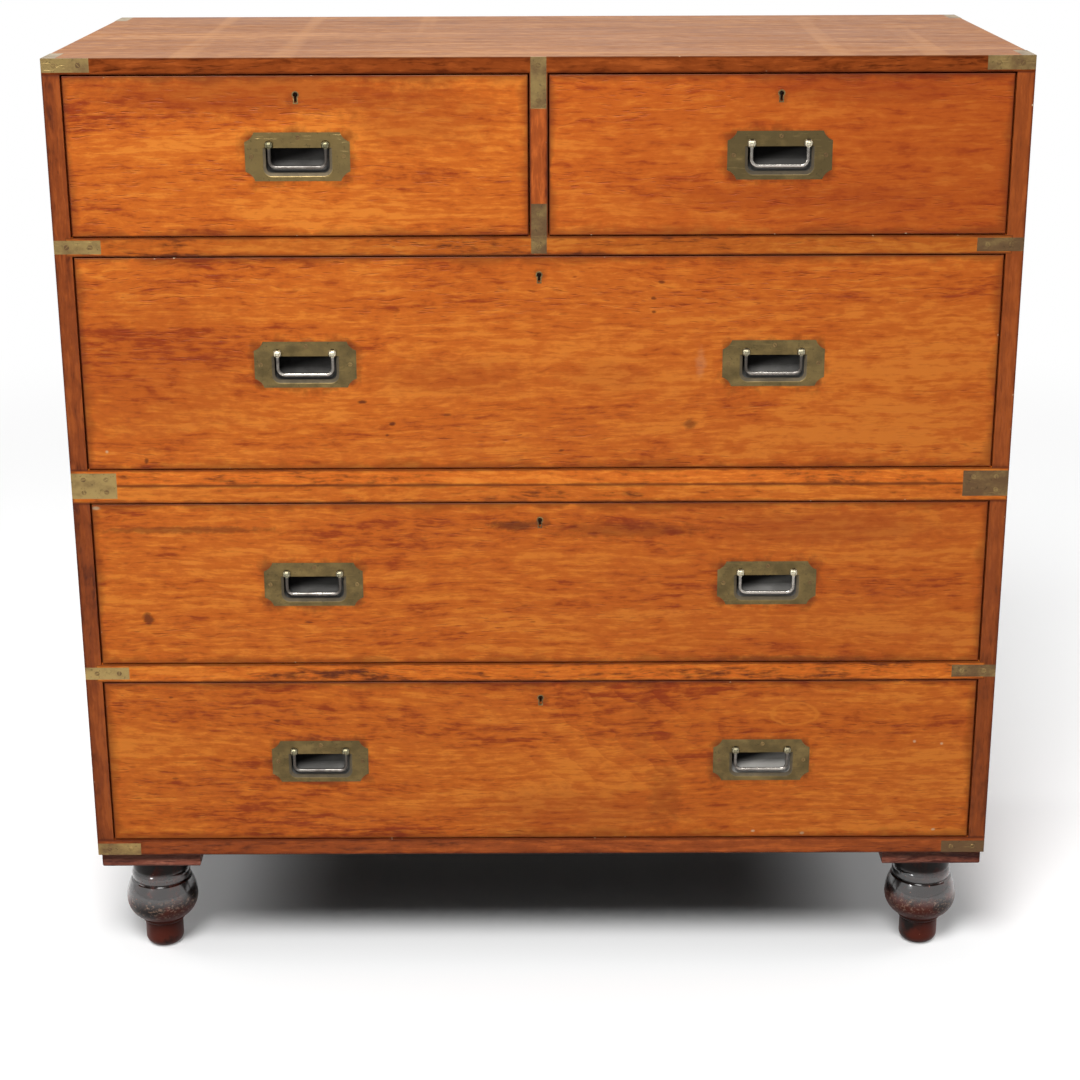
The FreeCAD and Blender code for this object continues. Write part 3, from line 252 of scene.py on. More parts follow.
class Shader:
    """Adds nodes to a tree. An input is a number, a colour, a vector or a node's output."""

    def __init__(self, tree):
        self.tree = tree

    def feed(self, socket, value):
        if isinstance(value, bpy.types.NodeSocket):
            self.tree.links.new(value, socket)
        elif socket.type == "RGBA":
            socket.default_value = (*tuple(value)[:3], 1)
        else:
            socket.default_value = value

    def node(self, kind, settings=None, inputs=None):
        made = self.tree.nodes.new(kind)
        for name, value in (settings or {}).items():
            setattr(made, name, value)
        for name, value in (inputs or {}).items():
            self.feed(made.inputs[name], value)
        return made

    def use(self, group, inputs):
        """Places a node group, and returns its outputs."""
        return self.node(
            "ShaderNodeGroup", {"node_tree": bpy.data.node_groups[group]}, inputs).outputs

    def math(self, operation, *values, clamp=False):
        made = self.node("ShaderNodeMath", {"operation": operation, "use_clamp": clamp})
        for socket, value in zip(made.inputs, values):
            self.feed(socket, value)
        return made.outputs[0]

    def vector(self, operation, *values):
        made = self.node("ShaderNodeVectorMath", {"operation": operation})
        for socket, value in zip(made.inputs, values):
            self.feed(socket, value)
        return made.outputs["Value" if operation == "LENGTH" else "Vector"]

    def split(self, place):
        return self.node("ShaderNodeSeparateXYZ", inputs={"Vector": place}).outputs

    def join(self, x, y, z):
        return self.node("ShaderNodeCombineXYZ", inputs={"X": x, "Y": y, "Z": z}).outputs[0]

    def mix(self, share, first, second, blend="MIX"):
        made = self.node("ShaderNodeMix", {"data_type": "RGBA", "blend_type": blend})
        for index, value in ((0, share), (6, first), (7, second)):
            self.feed(made.inputs[index], value)
        return made.outputs[2]

    def noise(self, place, per_metre, detail=2.0, roughness=0.5):
        """Noise with so many waves per metre along x, y and z."""
        return self.node("ShaderNodeTexNoise", inputs={
            "Vector": self.vector("MULTIPLY", place, per_metre),
            "Scale": 1, "Detail": detail, "Roughness": roughness}).outputs

    def step(self, value, start, end):
        """Goes smoothly from 0 at start to 1 at end."""
        return self.node(
            "ShaderNodeMapRange", {"interpolation_type": "SMOOTHSTEP"},
            {"Value": value, "From Min": start, "From Max": end}).outputs[0]

    def fade(self, value, origin, reach):
        """Goes smoothly from 0 to 1 between two distances from an origin."""
        return self.step(value, origin + reach[0], origin + reach[1])

    def swing(self, value, size):
        """Noise round 0.5, turned into a change from -size to size or so."""
        return self.product(self.math("SUBTRACT", value, 0.5), size)

    def total(self, result, *others):
        for value in others:
            result = self.math("ADD", result, value)
        return result

    def product(self, result, *others):
        for value in others:
            result = self.math("MULTIPLY", result, value)
        return result

    def object_place(self):
        return self.node("ShaderNodeTexCoord").outputs["Object"]


def new_group(name, inputs, outputs):
    """An empty shader node group. Its inputs are name to default value, where a tuple is a
    colour, and its outputs are name to kind."""
    kinds = {float: "NodeSocketFloat", tuple: "NodeSocketColor", Vector: "NodeSocketVector"}
    tree = bpy.data.node_groups.new(name, "ShaderNodeTree")
    for title, default in inputs.items():
        socket = tree.interface.new_socket(
            title, in_out="INPUT", socket_type=kinds[type(default)])
        socket.default_value = (*default, 1) if isinstance(default, tuple) else default
    for title, kind in outputs.items():
        tree.interface.new_socket(title, in_out="OUTPUT", socket_type=kinds[kind])
    shader = Shader(tree)
    shader.given = tree.nodes.new("NodeGroupInput").outputs
    shader.result = tree.nodes.new("NodeGroupOutput").inputs
    return shader


def make_timber_group():
    """Wood with its grain along x: broad zones, streaks, threads, pores and pale flecks."""
    s = new_group("Timber", {
        "Vector": Vector(), "Pale": (1, 1, 1), "Mid": (.5, .5, .5), "Dark": (0, 0, 0),
        "Zones": 0.5, "Streaks": 0.5, "Pores": 0.5, "Flecks": 0.5, "Figure": 0.0, "Seed": 0.0,
    }, {"Color": tuple, "Roughness": float, "Height": float})
    given = s.given
    shift = s.join(*(s.product(given["Seed"], step) for step in (3.71, 1.93, 2.57)))
    place = s.vector("ADD", given["Vector"], shift)
    bent = place
    for waves, detail, size in (((2.1, 5, 5), 1, .045), ((26, 26, 80), 2, .007)):
        drift = s.noise(place, waves, detail=detail)["Color"]
        drift = s.vector("SUBTRACT", drift, (0.5, 0.5, 0.5))
        bent = s.vector("ADD", bent, s.vector("MULTIPLY", drift, (0, size, size)))
    zones = s.noise(bent, (1.5, 19, 19), detail=3)["Fac"]
    streaks = s.noise(bent, (4.5, 52, 52), detail=4, roughness=0.6)["Fac"]
    threads = s.noise(bent, (15, 210, 210), detail=3, roughness=0.65)["Fac"]
    clouds = s.noise(place, (4.2, 10, 9), detail=2)["Fac"]
    mottle = s.noise(bent, (52, 120, 120), detail=3, roughness=0.6)["Fac"]
    tone = s.total(
        0.5,
        s.product(s.swing(zones, 2.2), given["Zones"]),
        s.product(s.swing(streaks, 1.9), given["Streaks"]),
        s.product(s.swing(clouds, 1.7), given["Zones"]),
        s.swing(threads, 1.5), s.swing(mottle, 1.3), given["Figure"])
    body = s.mix(s.step(tone, 0.05, 0.52), given["Pale"], given["Mid"])
    body = s.mix(s.step(tone, 0.5, 1.1), body, given["Dark"])
    dash = s.noise(bent, (48, 560, 560), detail=1)["Fac"]
    pores = s.product(s.step(dash, 0.58, 0.76), s.total(s.step(zones, 0.4, 0.6), 0.2))
    pores = s.math("MULTIPLY", pores, given["Pores"], clamp=True)
    body = s.mix(pores, body, s.mix(0.25, given["Dark"], (0, 0, 0)))
    silk = s.noise(bent, (32, 190, 190), detail=3, roughness=0.6)["Fac"]
    flecks = s.math("MULTIPLY", s.step(silk, 0.54, 0.7), given["Flecks"], clamp=True)
    body = s.mix(flecks, body, given["Pale"])
    s.feed(s.result["Color"], body)
    s.feed(s.result["Roughness"], s.total(
        0.36, s.swing(streaks, 0.25), s.product(pores, 0.25)))
    s.feed(s.result["Height"], s.math("SUBTRACT", s.product(threads, 0.35), pores))


def make_rings_group():
    """Growth rings cut by a board's face. Heart is the log's centre; Slope tilts the log."""
    s = new_group("Growth rings", {
        "Vector": Vector(), "Heart": Vector((0, 0.06, 0)), "Slope": 0.12, "Spacing": 0.014,
    }, {"Rings": float})
    away = s.split(s.vector("SUBTRACT", s.given["Vector"], s.given["Heart"]))
    depth = s.math("MULTIPLY_ADD", away["X"], s.given["Slope"], away["Y"])
    radius = s.vector("LENGTH", s.join(0, depth, away["Z"]))
    wander = s.noise(s.given["Vector"], (6, 6, 18), detail=3, roughness=0.55)["Fac"]
    turn = s.total(s.math("DIVIDE", radius, s.given["Spacing"]), s.swing(wander, 2.6))
    saw = s.math("FRACT", turn)
    s.feed(s.result["Rings"], s.product(s.step(saw, 0.2, 0.92), s.step(saw, 1.0, 0.94)))


def make_edge_group():
    """Grime and painted shade along the edges of a flat piece, between its low and high
    corners in x and z, with a thin dark line of painted shade at the edge itself.
    """
    s = new_group("Edge grime and shade", {
        "Vector": Vector(), "Low": Vector(), "High": Vector((1, 1, 1)), "Reach": 0.012,
    }, {"Mask": float, "Line": float})
    near = s.split(s.vector("SUBTRACT", s.given["Vector"], s.given["Low"]))
    far = s.split(s.vector("SUBTRACT", s.given["High"], s.given["Vector"]))
    gap = s.math(
        "MINIMUM", s.math("MINIMUM", near["X"], near["Z"]),
        s.math("MINIMUM", far["X"], far["Z"]))
    patchy = s.noise(s.given["Vector"], (28, 28, 28), detail=4, roughness=0.6)["Fac"]
    reach = s.product(s.given["Reach"], s.total(s.swing(patchy, 3.2), 0.9))
    s.feed(s.result["Mask"], s.step(gap, reach, 0))
    s.feed(s.result["Line"], s.step(gap, 0.0022, 0.0006))


def make_mark_group():
    """One stain, knot or dent: a ragged ellipse, and the thin ring round it."""
    s = new_group("Mark", {
        "Vector": Vector(), "Centre": Vector(), "Size": Vector((0.01, 0.01, 0.01)),
        "Ragged": 0.5,
    }, {"Mask": float, "Ring": float})
    away = s.vector("SUBTRACT", s.given["Vector"], s.given["Centre"])
    away = s.vector("DIVIDE", away, s.given["Size"])
    ragged = s.noise(s.given["Vector"], (90, 90, 150), detail=3, roughness=0.6)["Fac"]
    ragged = s.product(s.swing(ragged, 3), s.given["Ragged"])
    reach = s.total(s.vector("LENGTH", away), ragged)
    s.feed(s.result["Mask"], s.step(reach, 1.1, 0.35))
    ring = s.math("ABSOLUTE", s.math("SUBTRACT", reach, 1))
    s.feed(s.result["Ring"], s.step(ring, 0.16, 0.02))


def make_halo_group():
    """Grime on the wood round a plate, a rectangle of a half width and a half height."""
    s = new_group("Halo", {
        "Vector": Vector(), "Centre": Vector(), "Size": Vector((0.01, 0.01, 0.01)),
        "Reach": 0.005,
    }, {"Mask": float})
    away = s.vector("ABSOLUTE", s.vector("SUBTRACT", s.given["Vector"], s.given["Centre"]))
    away = s.vector("MAXIMUM", s.vector("SUBTRACT", away, s.given["Size"]), (0, 0, 0))
    patchy = s.noise(s.given["Vector"], (60, 60, 60), detail=3, roughness=0.6)["Fac"]
    reach = s.product(s.given["Reach"], s.total(s.swing(patchy, 3), 1))
    s.feed(s.result["Mask"], s.step(s.vector("LENGTH", away), reach, 0))


def make_chips_group():
    """Small pale chips and dust specks, scattered."""
    s = new_group("Chips", {
        "Vector": Vector(), "Amount": 0.5, "Scale": 120.0}, {"Mask": float})
    cells = s.node("ShaderNodeTexVoronoi", inputs={
        "Vector": s.given["Vector"], "Scale": s.given["Scale"], "Randomness": 1})
    pick = s.split(cells.outputs["Color"])["X"]
    chosen = s.math("LESS_THAN", pick, s.product(s.given["Amount"], 0.1))
    s.feed(s.result["Mask"], s.product(
        chosen, s.step(cells.outputs["Distance"], 0.22, 0.1)))


def make_metal_group():
    """Old metal: rubbed and dull areas, tarnish spots and fine scratches."""
    s = new_group("Old metal", {
        "Vector": Vector(), "Bright": (1, 1, 1), "Dull": (.5, .5, .5), "Spots": (0, 0, 0),
        "Wear": 0.0, "Grime": 0.5,
    }, {"Color": tuple, "Roughness": float, "Height": float})
    place = s.given["Vector"]
    clouds = s.noise(place, (45, 45, 60), detail=4, roughness=0.6)["Fac"]
    rubbed = s.total(s.given["Wear"], s.swing(clouds, 1.5), 0.45)
    rubbed = s.step(rubbed, 0.1, 0.9)
    body = s.mix(rubbed, s.given["Dull"], s.given["Bright"])
    dots = s.noise(place, (260, 260, 260), detail=3, roughness=0.65)["Fac"]
    spots = s.product(s.step(dots, 0.58, 0.72), s.given["Grime"])
    body = s.mix(spots, body, s.given["Spots"])
    scratch = s.noise(place, (60, 900, 900), detail=1)["Fac"]
    lines = s.step(scratch, 0.66, 0.78)
    body = s.mix(s.product(lines, 0.35), body, s.given["Bright"])
    s.feed(s.result["Color"], body)
    s.feed(s.result["Roughness"], s.total(
        0.52, s.product(rubbed, -0.2), s.product(spots, 0.2)))
    s.feed(s.result["Height"], s.total(s.product(dots, 0.5), s.product(lines, -0.5)))


GROUP_MAKERS = (
    make_timber_group, make_rings_group, make_edge_group, make_mark_group, make_halo_group,
    make_chips_group, make_metal_group)


# Materials

def bare_shader(owner):
    """A Shader for the emptied tree of a material or a world."""
    owner.use_nodes = True
    owner.node_tree.nodes.clear()
    return Shader(owner.node_tree)


def new_material(name):
    """A material with a bare Principled surface, and a Shader for its tree."""
    material = bpy.data.materials.new(name)
    shader = bare_shader(material)
    shader.surface = shader.node("ShaderNodeBsdfPrincipled")
    shader.node("ShaderNodeOutputMaterial", inputs={"Surface": shader.surface.outputs[0]})
    return material, shader


def finish_surface(
        shader, base, roughness, height, bump, metallic=0.0, coat=0.0, sheen=0.5,
        coat_roughness=0.22):
    """Feeds the surface. The bump is in metres; a coat is clear polish."""
    raised = shader.node("ShaderNodeBump", inputs={
        "Strength": 1, "Distance": bump, "Height": height})
    for name, value in (
            ("Base Color", base), ("Roughness", roughness), ("Metallic", metallic),
            ("Coat Weight", coat), ("Coat Roughness", coat_roughness),
            ("Specular IOR Level", sheen), ("Normal", raised.outputs[0])):
        shader.feed(shader.surface.inputs[name], value)


def old_metal(shader, place, bright, dull, spots, wear, grime):
    """Old metal's colour, roughness and height."""
    return shader.use("Old metal", {
        "Vector": place, "Bright": bright, "Dull": dull, "Spots": spots, "Wear": wear,
        "Grime": grime})


def finish_metal(shader, made, base=None, metallic=.8, bump=.0002):
    """Feeds the surface with old metal, in its own colour or in another."""
    finish_surface(
        shader, made["Color"] if base is None else base, made["Roughness"], made["Height"],
        bump, metallic=metallic)


def new_object(name, data):
    """A new object, linked to the scene."""
    made = bpy.data.objects.new(name, data)
    bpy.context.scene.collection.objects.link(made)
    return made


def grain_place(shader, axis):
    """Object coordinates, turned so that the grain lies along x."""
    place = shader.object_place()
    if axis == "X":
        return place
    parts = shader.split(place)
    if axis == "Z":
        return shader.join(parts["Z"], parts["Y"], parts["X"])
    return shader.join(parts["Y"], parts["X"], parts["Z"])


def ring_figure(s, place, heart, slope, spacing, strength, middle, reach):
    """Growth rings round the heart, shown in one part of a board."""
    return s.product(
        s.use("Growth rings", {
            "Vector": place, "Heart": heart, "Slope": slope, "Spacing": spacing})["Rings"],
        s.use("Mark", {
            "Vector": place, "Centre": middle, "Size": reach, "Ragged": 0.0})["Mask"],
        strength)


def faded_and_reflecting_wood(s, place, seed):
    """The colour of sun-faded wood, painted paler also as the sky's reflection on it, with
    paler streaks across it.
    """
    wood = bpy.context.scene.chest_timber
    faded = s.use("Timber", {
        "Vector": place, "Pale": wood.top_pale, "Mid": wood.top_mid, "Dark": wood.top_dark,
        "Zones": .4, "Streaks": .5, "Pores": .4, "Flecks": .5, "Figure": 0.0,
        "Seed": seed + .5})["Color"]
    pale_streaks = s.noise(place, (21, .8, 1), detail=2)["Fac"]
    return s.mix(s.product(s.step(pale_streaks, .59, .68), .5), faded, wood.top_pale)


def add_marks(s, place, base, marks, palette):
    """Adds stains, knots, dents and specks to the colour of a drawer front."""
    wood = bpy.context.scene.chest_timber
    tints = {"dark": wood.grime, "deep": palette[2], "pale": wood.chip, "ring": palette[0]}
    for x, z, width, height, strength, kind in marks:
        found = s.use("Mark", {
            "Vector": place, "Centre": (x * MM, FRONT_FACE, z * MM),
            "Size": (width * MM, 0.05, height * MM),
            "Ragged": {"ring": .12, "deep": .3}.get(kind, .5)})
        mask = s.product(found["Ring" if kind == "ring" else "Mask"], strength)
        base = s.mix(mask, base, tints[kind])
    return base


def add_edge_dirt_and_shade(s, place, base, edges, reach, chips):
    """Adds grime, painted shade and chips along a board's edges. Returns the colour and the
    grime with its painted shade.
    """
    wood = bpy.context.scene.chest_timber
    low, high = edges
    # Grime along the edges, and painted shade where the gaps and bevels would shade them; the
    # thin line at the edge is painted shade.
    worn = s.use("Edge grime and shade", {"Vector": place, "Low": low, "High": high, "Reach": reach})
    before = s.fade(s.split(place)["Y"], low[1], EDGE_GRIME_AND_SHADE)
    dirt_and_shade = s.product(worn["Mask"], before)
    line = s.product(worn["Line"], before)
    base = s.mix(s.total(s.product(dirt_and_shade, .5), s.product(line, .25)), base, wood.grime)
    if chips:
        flaked = s.use("Chips", {"Vector": place, "Amount": chips, "Scale": 150.0})["Mask"]
        base = s.mix(s.product(flaked, line), base, wood.chip)
    return base, dirt_and_shade


def timber(name, palette, grain="X", seed=0.0, zones=0.5, streaks=0.5, pores=0.5,
           flecks=0.5, gain=1.0, rings=None, edges=None, reach=0.012, marks=(),
           shade=0.0, chips=0.0, coat=None, flat=0.0, bleached_and_reflecting=None, plates=(),
           sheen=None, ends=None, under=None):
    """Polished or plain wood.

    Palette is pale, mid and dark. Rings is a heart, a slope, a spacing, a strength, and the
    middle and the reach of the part of the board where they show. Edges is a low and a high
    corner, and along them grime and painted shade darken the face. A mark is (x, z, width,
    height, strength, kind), in millimetres, where kind is dark, deep, pale or ring. Shade
    is painted shade that darkens the wood towards the right, away from the light, and where
    it is below 0, painted light that lightens it there. bleached_and_reflecting is the
    height of a face that the sun has faded, painted paler also as the sky's reflection on
    it. A plate is the centre and the half size of a rectangle with grime round it. Ends is
    the colour of the board's two ends, where they show on the sides of the chest. Under is
    the height of the face that turns to the floor, painted dark grey for its dust and as
    painted shade.
    """
    wood = bpy.context.scene.chest_timber
    material, s = new_material(name)
    place = s.object_place()
    made = s.use("Timber", {
        "Vector": grain_place(s, grain), "Pale": palette[0], "Mid": palette[1],
        "Dark": palette[2], "Zones": zones, "Streaks": streaks, "Pores": pores,
        "Flecks": flecks, "Figure": ring_figure(s, place, *rings) if rings else 0.0,
        "Seed": float(seed)})
    base = made["Color"]
    roughness = made["Roughness"]
    # The top face: sun-faded wood, painted paler also as the sky's reflection on it.
    if bleached_and_reflecting:
        upper = s.fade(s.split(place)["Z"], bleached_and_reflecting, TOP_FADED_AND_REFLECTING)
        base = s.mix(upper, base, faded_and_reflecting_wood(s, place, seed))
    if ends:
        tips = s.fade(
            s.math("ABSOLUTE", s.split(place)["X"]), CAD_BOX[1].x - HANDLE_PROUD, BOARD_END)
        base = s.mix(tips, base, ends)
    if gain != 1.0:
        base = s.mix(1.0, base, (gain, gain, gain), "MULTIPLY")
    # Painted shading: shade darkens the wood towards the right, away from the light, as painted
    # shade; below 0 it is painted light that lightens it there.
    if shade:
        across = s.step(s.split(place)["X"], -0.5, 0.5)
        base = s.mix(s.product(across, abs(shade)), base, palette[2 if shade > 0 else 0])
    base = add_marks(s, place, base, marks, palette)
    for centre, half_size in plates:
        halo = s.use("Halo", {
            "Vector": place, "Centre": centre, "Size": half_size, "Reach": .015})["Mask"]
        base = s.mix(s.product(halo, .8), base, wood.grime)
    if edges:
        base, dirt_and_shade = add_edge_dirt_and_shade(s, place, base, edges, reach, chips)
        roughness = s.total(roughness, s.product(dirt_and_shade, 0.15))
    # The face that turns to the floor: dust, painted dark grey also as painted shade.
    if under:
        base = s.mix(s.fade(s.split(place)["Z"], under, UNDERSIDE_DUST_AND_SHADE), base, wood.underside_dust_and_shade)
    finish_surface(
        s, base, s.total(roughness, flat), made["Height"], 0.0004,
        coat=wood.polish if coat is None else coat,
        sheen=wood.sheen if sheen is None else sheen)
    return material


def dress(node, material):
    """Gives a CAD node one material in all its slots."""
    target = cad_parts[node]
    if not target.data.materials:
        target.data.materials.append(None)
    for index in range(len(target.data.materials)):
        target.material_slots[index].link = "DATA"
        target.data.materials[index] = material


def corners(node):
    """The low and the high corner of a node's box."""
    low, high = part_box(node)
    return tuple(low), tuple(high)


def plate_centres(drawer):
    """The middle of each of a drawer's pull plates, on the face of its front."""
    low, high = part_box(f"{drawer}_drawer_pull_plates")
    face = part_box(f"{drawer}_drawer_front")[0].y
    places = [low.x + PLATE_HALF]
    if drawer in LONG_DRAWERS:
        places.append(high.x - PLATE_HALF)
    return [Vector((x, face, (low.z + high.z) / 2)) for x in places]


# Drawer fronts and case

# A shade in a look is painted shade, darker towards the right.
FRONT_LOOKS = {
    "top_left": {
        "seed": 1, "zones": .6, "streaks": .5, "gain": 1.13, "shade": .05,
        "marks": (
            (-245, 976, 9, 10, .4, "dark"), (-290, 982, 230, 30, .6, "deep"),
            (-120, 960, 100, 44, .35, "deep"))},
    "top_right": {
        "seed": 2, "zones": .6, "streaks": .45, "gain": 1.32, "shade": .6,
        "marks": (
            (243, 978, 9, 10, .4, "dark"), (330, 984, 150, 20, .4, "deep"),
            (270, 876, 190, 18, .3, "deep"))},
    "second": {
        "seed": 6, "zones": .6, "streaks": .5, "gain": 1.14, "shade": .25,
        "rings": (
            (0.10, 0.05, 0.62), 0.16, 0.017, 0.2, (.15, FRONT_FACE, .65), (.19, .1, .09)),
        "marks": (
            (1, 796, 8, 9, .4, "dark"), (-400, 700, 150, 110, .25, "deep"),
            (-90, 690, 110, 26, .25, "deep"), (70, 690, 70, 22, .2, "deep"),
            (-185, 663, 5, 2, .8, "dark"), (-155, 639, 4, 2.5, .8, "dark"),
            (-160, 627, 3, 2, .7, "dark"), (-97, 649, 5, 2, .6, "dark"),
            (126, 789, 4, 2, .7, "dark"), (118, 772, 3, 2, .7, "dark"),
            (118, 758, 3, 2, .7, "dark"), (23, 610, 4, 2, .7, "dark"),
            (-414, 600, 3, 4, .7, "dark"), (157, 638, 9, 7, .55, "dark"),
            (-455, 610, 2, 2, .6, "pale"), (168, 704, 6, 18, .12, "pale")),
    },
    "third": {
        "seed": 5, "zones": .55, "streaks": .6, "gain": 1.14, "shade": .26,
        "marks": (
            (4, 532, 8, 9, .4, "dark"), (300, 524, 170, 24, .35, "deep"),
            (-423, 423, 7, 8, .75, "dark"), (-378, 523, 110, 5, .5, "dark"),
            (-28, 527, 36, 7, .7, "dark"), (90, 522, 100, 11, .35, "dark"),
            (272, 374, 110, 5, .5, "dark"), (-249, 418, 5, 1.5, .7, "dark"),
            (-471, 548, 6, 2.5, .9, "pale")),
    },
    "bottom": {
        "seed": 8, "zones": .6, "streaks": .5, "gain": 1.12, "shade": .12,
        "rings": (
            (0.085, 0.03, 0.345), 0.30, 0.011, 0.22, (.08, FRONT_FACE, .28), (.16, .1, .1)),
        "marks": (
            (2, 328, 8, 9, .4, "dark"), (40, 190, 150, 40, .3, "deep"),
            (112, 292, 16, 44, .12, "dark"), (137, 212, 24, 52, .2, "dark"),
            (278, 309, 25, 13, .7, "ring"), (-288, 303, 4, 2, .6, "dark"),
            (-403, 331, 4, 2, .6, "dark"), (-404, 234, 5, 2, .5, "dark"),
            (411, 276, 2, 2, .6, "pale"), (441, 273, 2, 2, .6, "pale"),
            (236, 168, 3, 2, .7, "pale"), (291, 165, 3, 2, .7, "pale"),
            (437, 169, 3, 2, .7, "pale")),
    },
}


class CHEST_OT_drawer_fronts(bpy.types.Operator):
    """Polish the five drawer fronts"""
    bl_idname = "chest.drawer_fronts"
    bl_label = "Drawer fronts"

    def execute(self, context):
        wood = context.scene.chest_timber
        palette = (wood.front_pale, wood.front_mid, wood.front_dark)
        for drawer in DRAWERS:
            node = f"{drawer}_drawer_front"
            low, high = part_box(f"{drawer}_drawer_pull_plates")
            half_size = (PLATE_HALF - GRIME_INSET, .05, (high.z - low.z) / 2 - GRIME_INSET)
            plates = [(tuple(centre), half_size) for centre in plate_centres(drawer)]
            dress(node, timber(
                f"{drawer}_front_wood", palette, edges=corners(node), chips=.9,
                plates=plates, **FRONT_LOOKS[drawer]))
        return {"FINISHED"}


class CHEST_OT_case(bpy.types.Operator):
    """Polish the sides, boards, rails and divider"""
    bl_idname = "chest.case_wood"
    bl_label = "Case"

    def execute(self, context):
        wood = context.scene.chest_timber
        dark = (wood.case_pale, wood.case_mid, wood.case_dark)
        warm = (wood.front_pale, wood.front_mid, wood.case_dark)
        # A shade in a look is painted shade towards the right, and painted light where it is
        # below 0.
        looks = {
            "lower_sides": (dark, {"grain": "Z", "seed": 11, "gain": .98, "shade": -.25}),
            "upper_sides": (dark, {"grain": "Z", "seed": 12, "gain": 1.0, "shade": -.3}),
            "upper_top_board": (dark, {
                "seed": 13, "zones": .25, "streaks": .4, "gain": 1.12, "shade": .1,
                "bleached_and_reflecting": CAD_BOX[1].z, "coat": 0.0, "sheen": .02}),
            "upper_bottom_board": (warm, {
                "seed": 24, "zones": .35, "streaks": .4, "gain": 1.3, "ends": wood.case_mid}),
            "lower_top_board": (warm, {"seed": 15, "gain": 1.1, "ends": wood.case_mid}),
            "lower_bottom_board": (dark, {
                "seed": 16, "gain": 1.35, "under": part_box("lower_bottom_board")[0].z}),
            "upper_drawer_rail": (warm, {
                "seed": 17, "gain": .96, "shade": .2, "ends": wood.case_mid}),
            "lower_drawer_rail": (warm, {
                "seed": 18, "gain": 1.26, "streaks": .6, "ends": wood.case_mid}),
            "centre_divider": (dark, {"grain": "Z", "seed": 19, "gain": 1.5}),
        }
        for node, (palette, look) in looks.items():
            dress(node, timber(
                f"{node}_wood", palette, edges=corners(node), reach=.004, chips=.5, **look))
        return {"FINISHED"}


class CHEST_OT_plain_wood(bpy.types.Operator):
    """Finish the backs, runners, drawer boxes and pegs, which have no polish"""
    bl_idname = "chest.plain_wood"
    bl_label = "Linings and backs"

    def execute(self, context):
        wood = context.scene.chest_timber
        palette = (wood.plain_pale, wood.plain_mid, wood.plain_dark)
        looks = {
            "lower_back_panel": ("X", 21), "upper_back_panel": ("X", 22),
            "lower_drawer_runners": ("Y", 23), "upper_drawer_runners": ("Y", 24),
            "locating_dowels": ("Z", 25),
        }
        for index, drawer in enumerate(DRAWERS):
            looks[f"{drawer}_drawer_box"] = ("Y", 30 + index)
            looks[f"{drawer}_drawer_bottom"] = ("X", 40 + index)
        for node, (grain, seed) in looks.items():
            dress(node, timber(
                f"{node}_wood", palette, grain=grain, seed=seed, pores=.35, flecks=.3,
                coat=0.0, flat=.28))
        return {"FINISHED"}


class CHEST_OT_feet(bpy.types.Operator):
    """Finish the turned feet in worn black polish, and their blocks in brown"""
    bl_idname = "chest.feet"
    bl_label = "Feet"

    def execute(self, context):
        feet = context.scene.chest_feet
        palette = (feet.block_pale, feet.block_mid, feet.block_dark)
        dress("foot_blocks", timber(
            "foot_block_wood", palette, seed=51, zones=.7, streaks=.6, gain=1.85,
            edges=corners("foot_blocks"), reach=.01, chips=1.0))
        material, s = new_material("ebonised_wood_worn")
        place = s.object_place()
        height = s.split(place)["Z"]
        patches = s.noise(place, (30, 30, 24), detail=4, roughness=.62)["Fac"]
        low = s.product(s.step(height, *TOE_WORN), .22)
        rubbed = s.step(s.total(patches, low), .5, .68)
        rings = s.noise(place, (12, 12, 420), detail=2)["Fac"]
        base = s.mix(s.product(rubbed, .9), feet.black, feet.worn)
        dust = s.noise(place, (230, 230, 330), detail=3, roughness=.7)["Fac"]
        belt = s.product(s.step(height, *BELT_TOP), s.step(height, *BELT_FOOT))
        specks = s.product(s.step(dust, .52, .65), s.product(belt, .7))
        base = s.mix(specks, base, feet.speck)
        chips = s.use("Chips", {"Vector": place, "Amount": 1.0, "Scale": 190.0})["Mask"]
        base = s.mix(s.product(chips, .6), base, feet.block_pale)
        roughness = s.total(.3, s.product(rubbed, .12), s.product(specks, .3))
        bulb = s.product(s.step(height, *BULB_TOP), s.step(height, *BULB_FOOT))
        raised = s.total(s.product(patches, .4), s.product(rings, .25))
        finish_surface(
            s, base, roughness, raised, .0004, coat=bulb, coat_roughness=.12, sheen=.15)
        s.surface.inputs["Coat IOR"].default_value = 1.85
        dress("turned_feet", material)
        return {"FINISHED"}


# Metal

class CHEST_OT_brass_mounts(bpy.types.Operator):
    """Finish the corner straps, divider straps and carrying plates, with painted light
    brighter towards the left
    """
    bl_idname = "chest.brass_mounts"
    bl_label = "Straps and carrying plates"

    def execute(self, context):
        metal = context.scene.chest_metal
        material, s = new_material("strap_brass")
        place = s.object_place()
        parts = s.split(place)
        # Painted light: the straps are brighter towards the left, where the light comes from,
        # brighter at the top and darker at the bottom; noisy rubbed wear comes on top.
        left = s.product(s.step(parts["X"], .1, -.42), .5)
        above = s.product(s.step(parts["Z"], .9, 1.0), .3)
        below = s.product(s.step(parts["Z"], .3, .18), -.2)
        wear = s.total(s.math("MAXIMUM", left, above), below, -.25)
        made = old_metal(
            s, place, metal.strap_bright, metal.strap_dull, metal.verdigris, wear, .55)
        finish_metal(s, made)
        dress("upper_brass_mounts", material)
        dress("lower_brass_mounts", material)
        return {"FINISHED"}


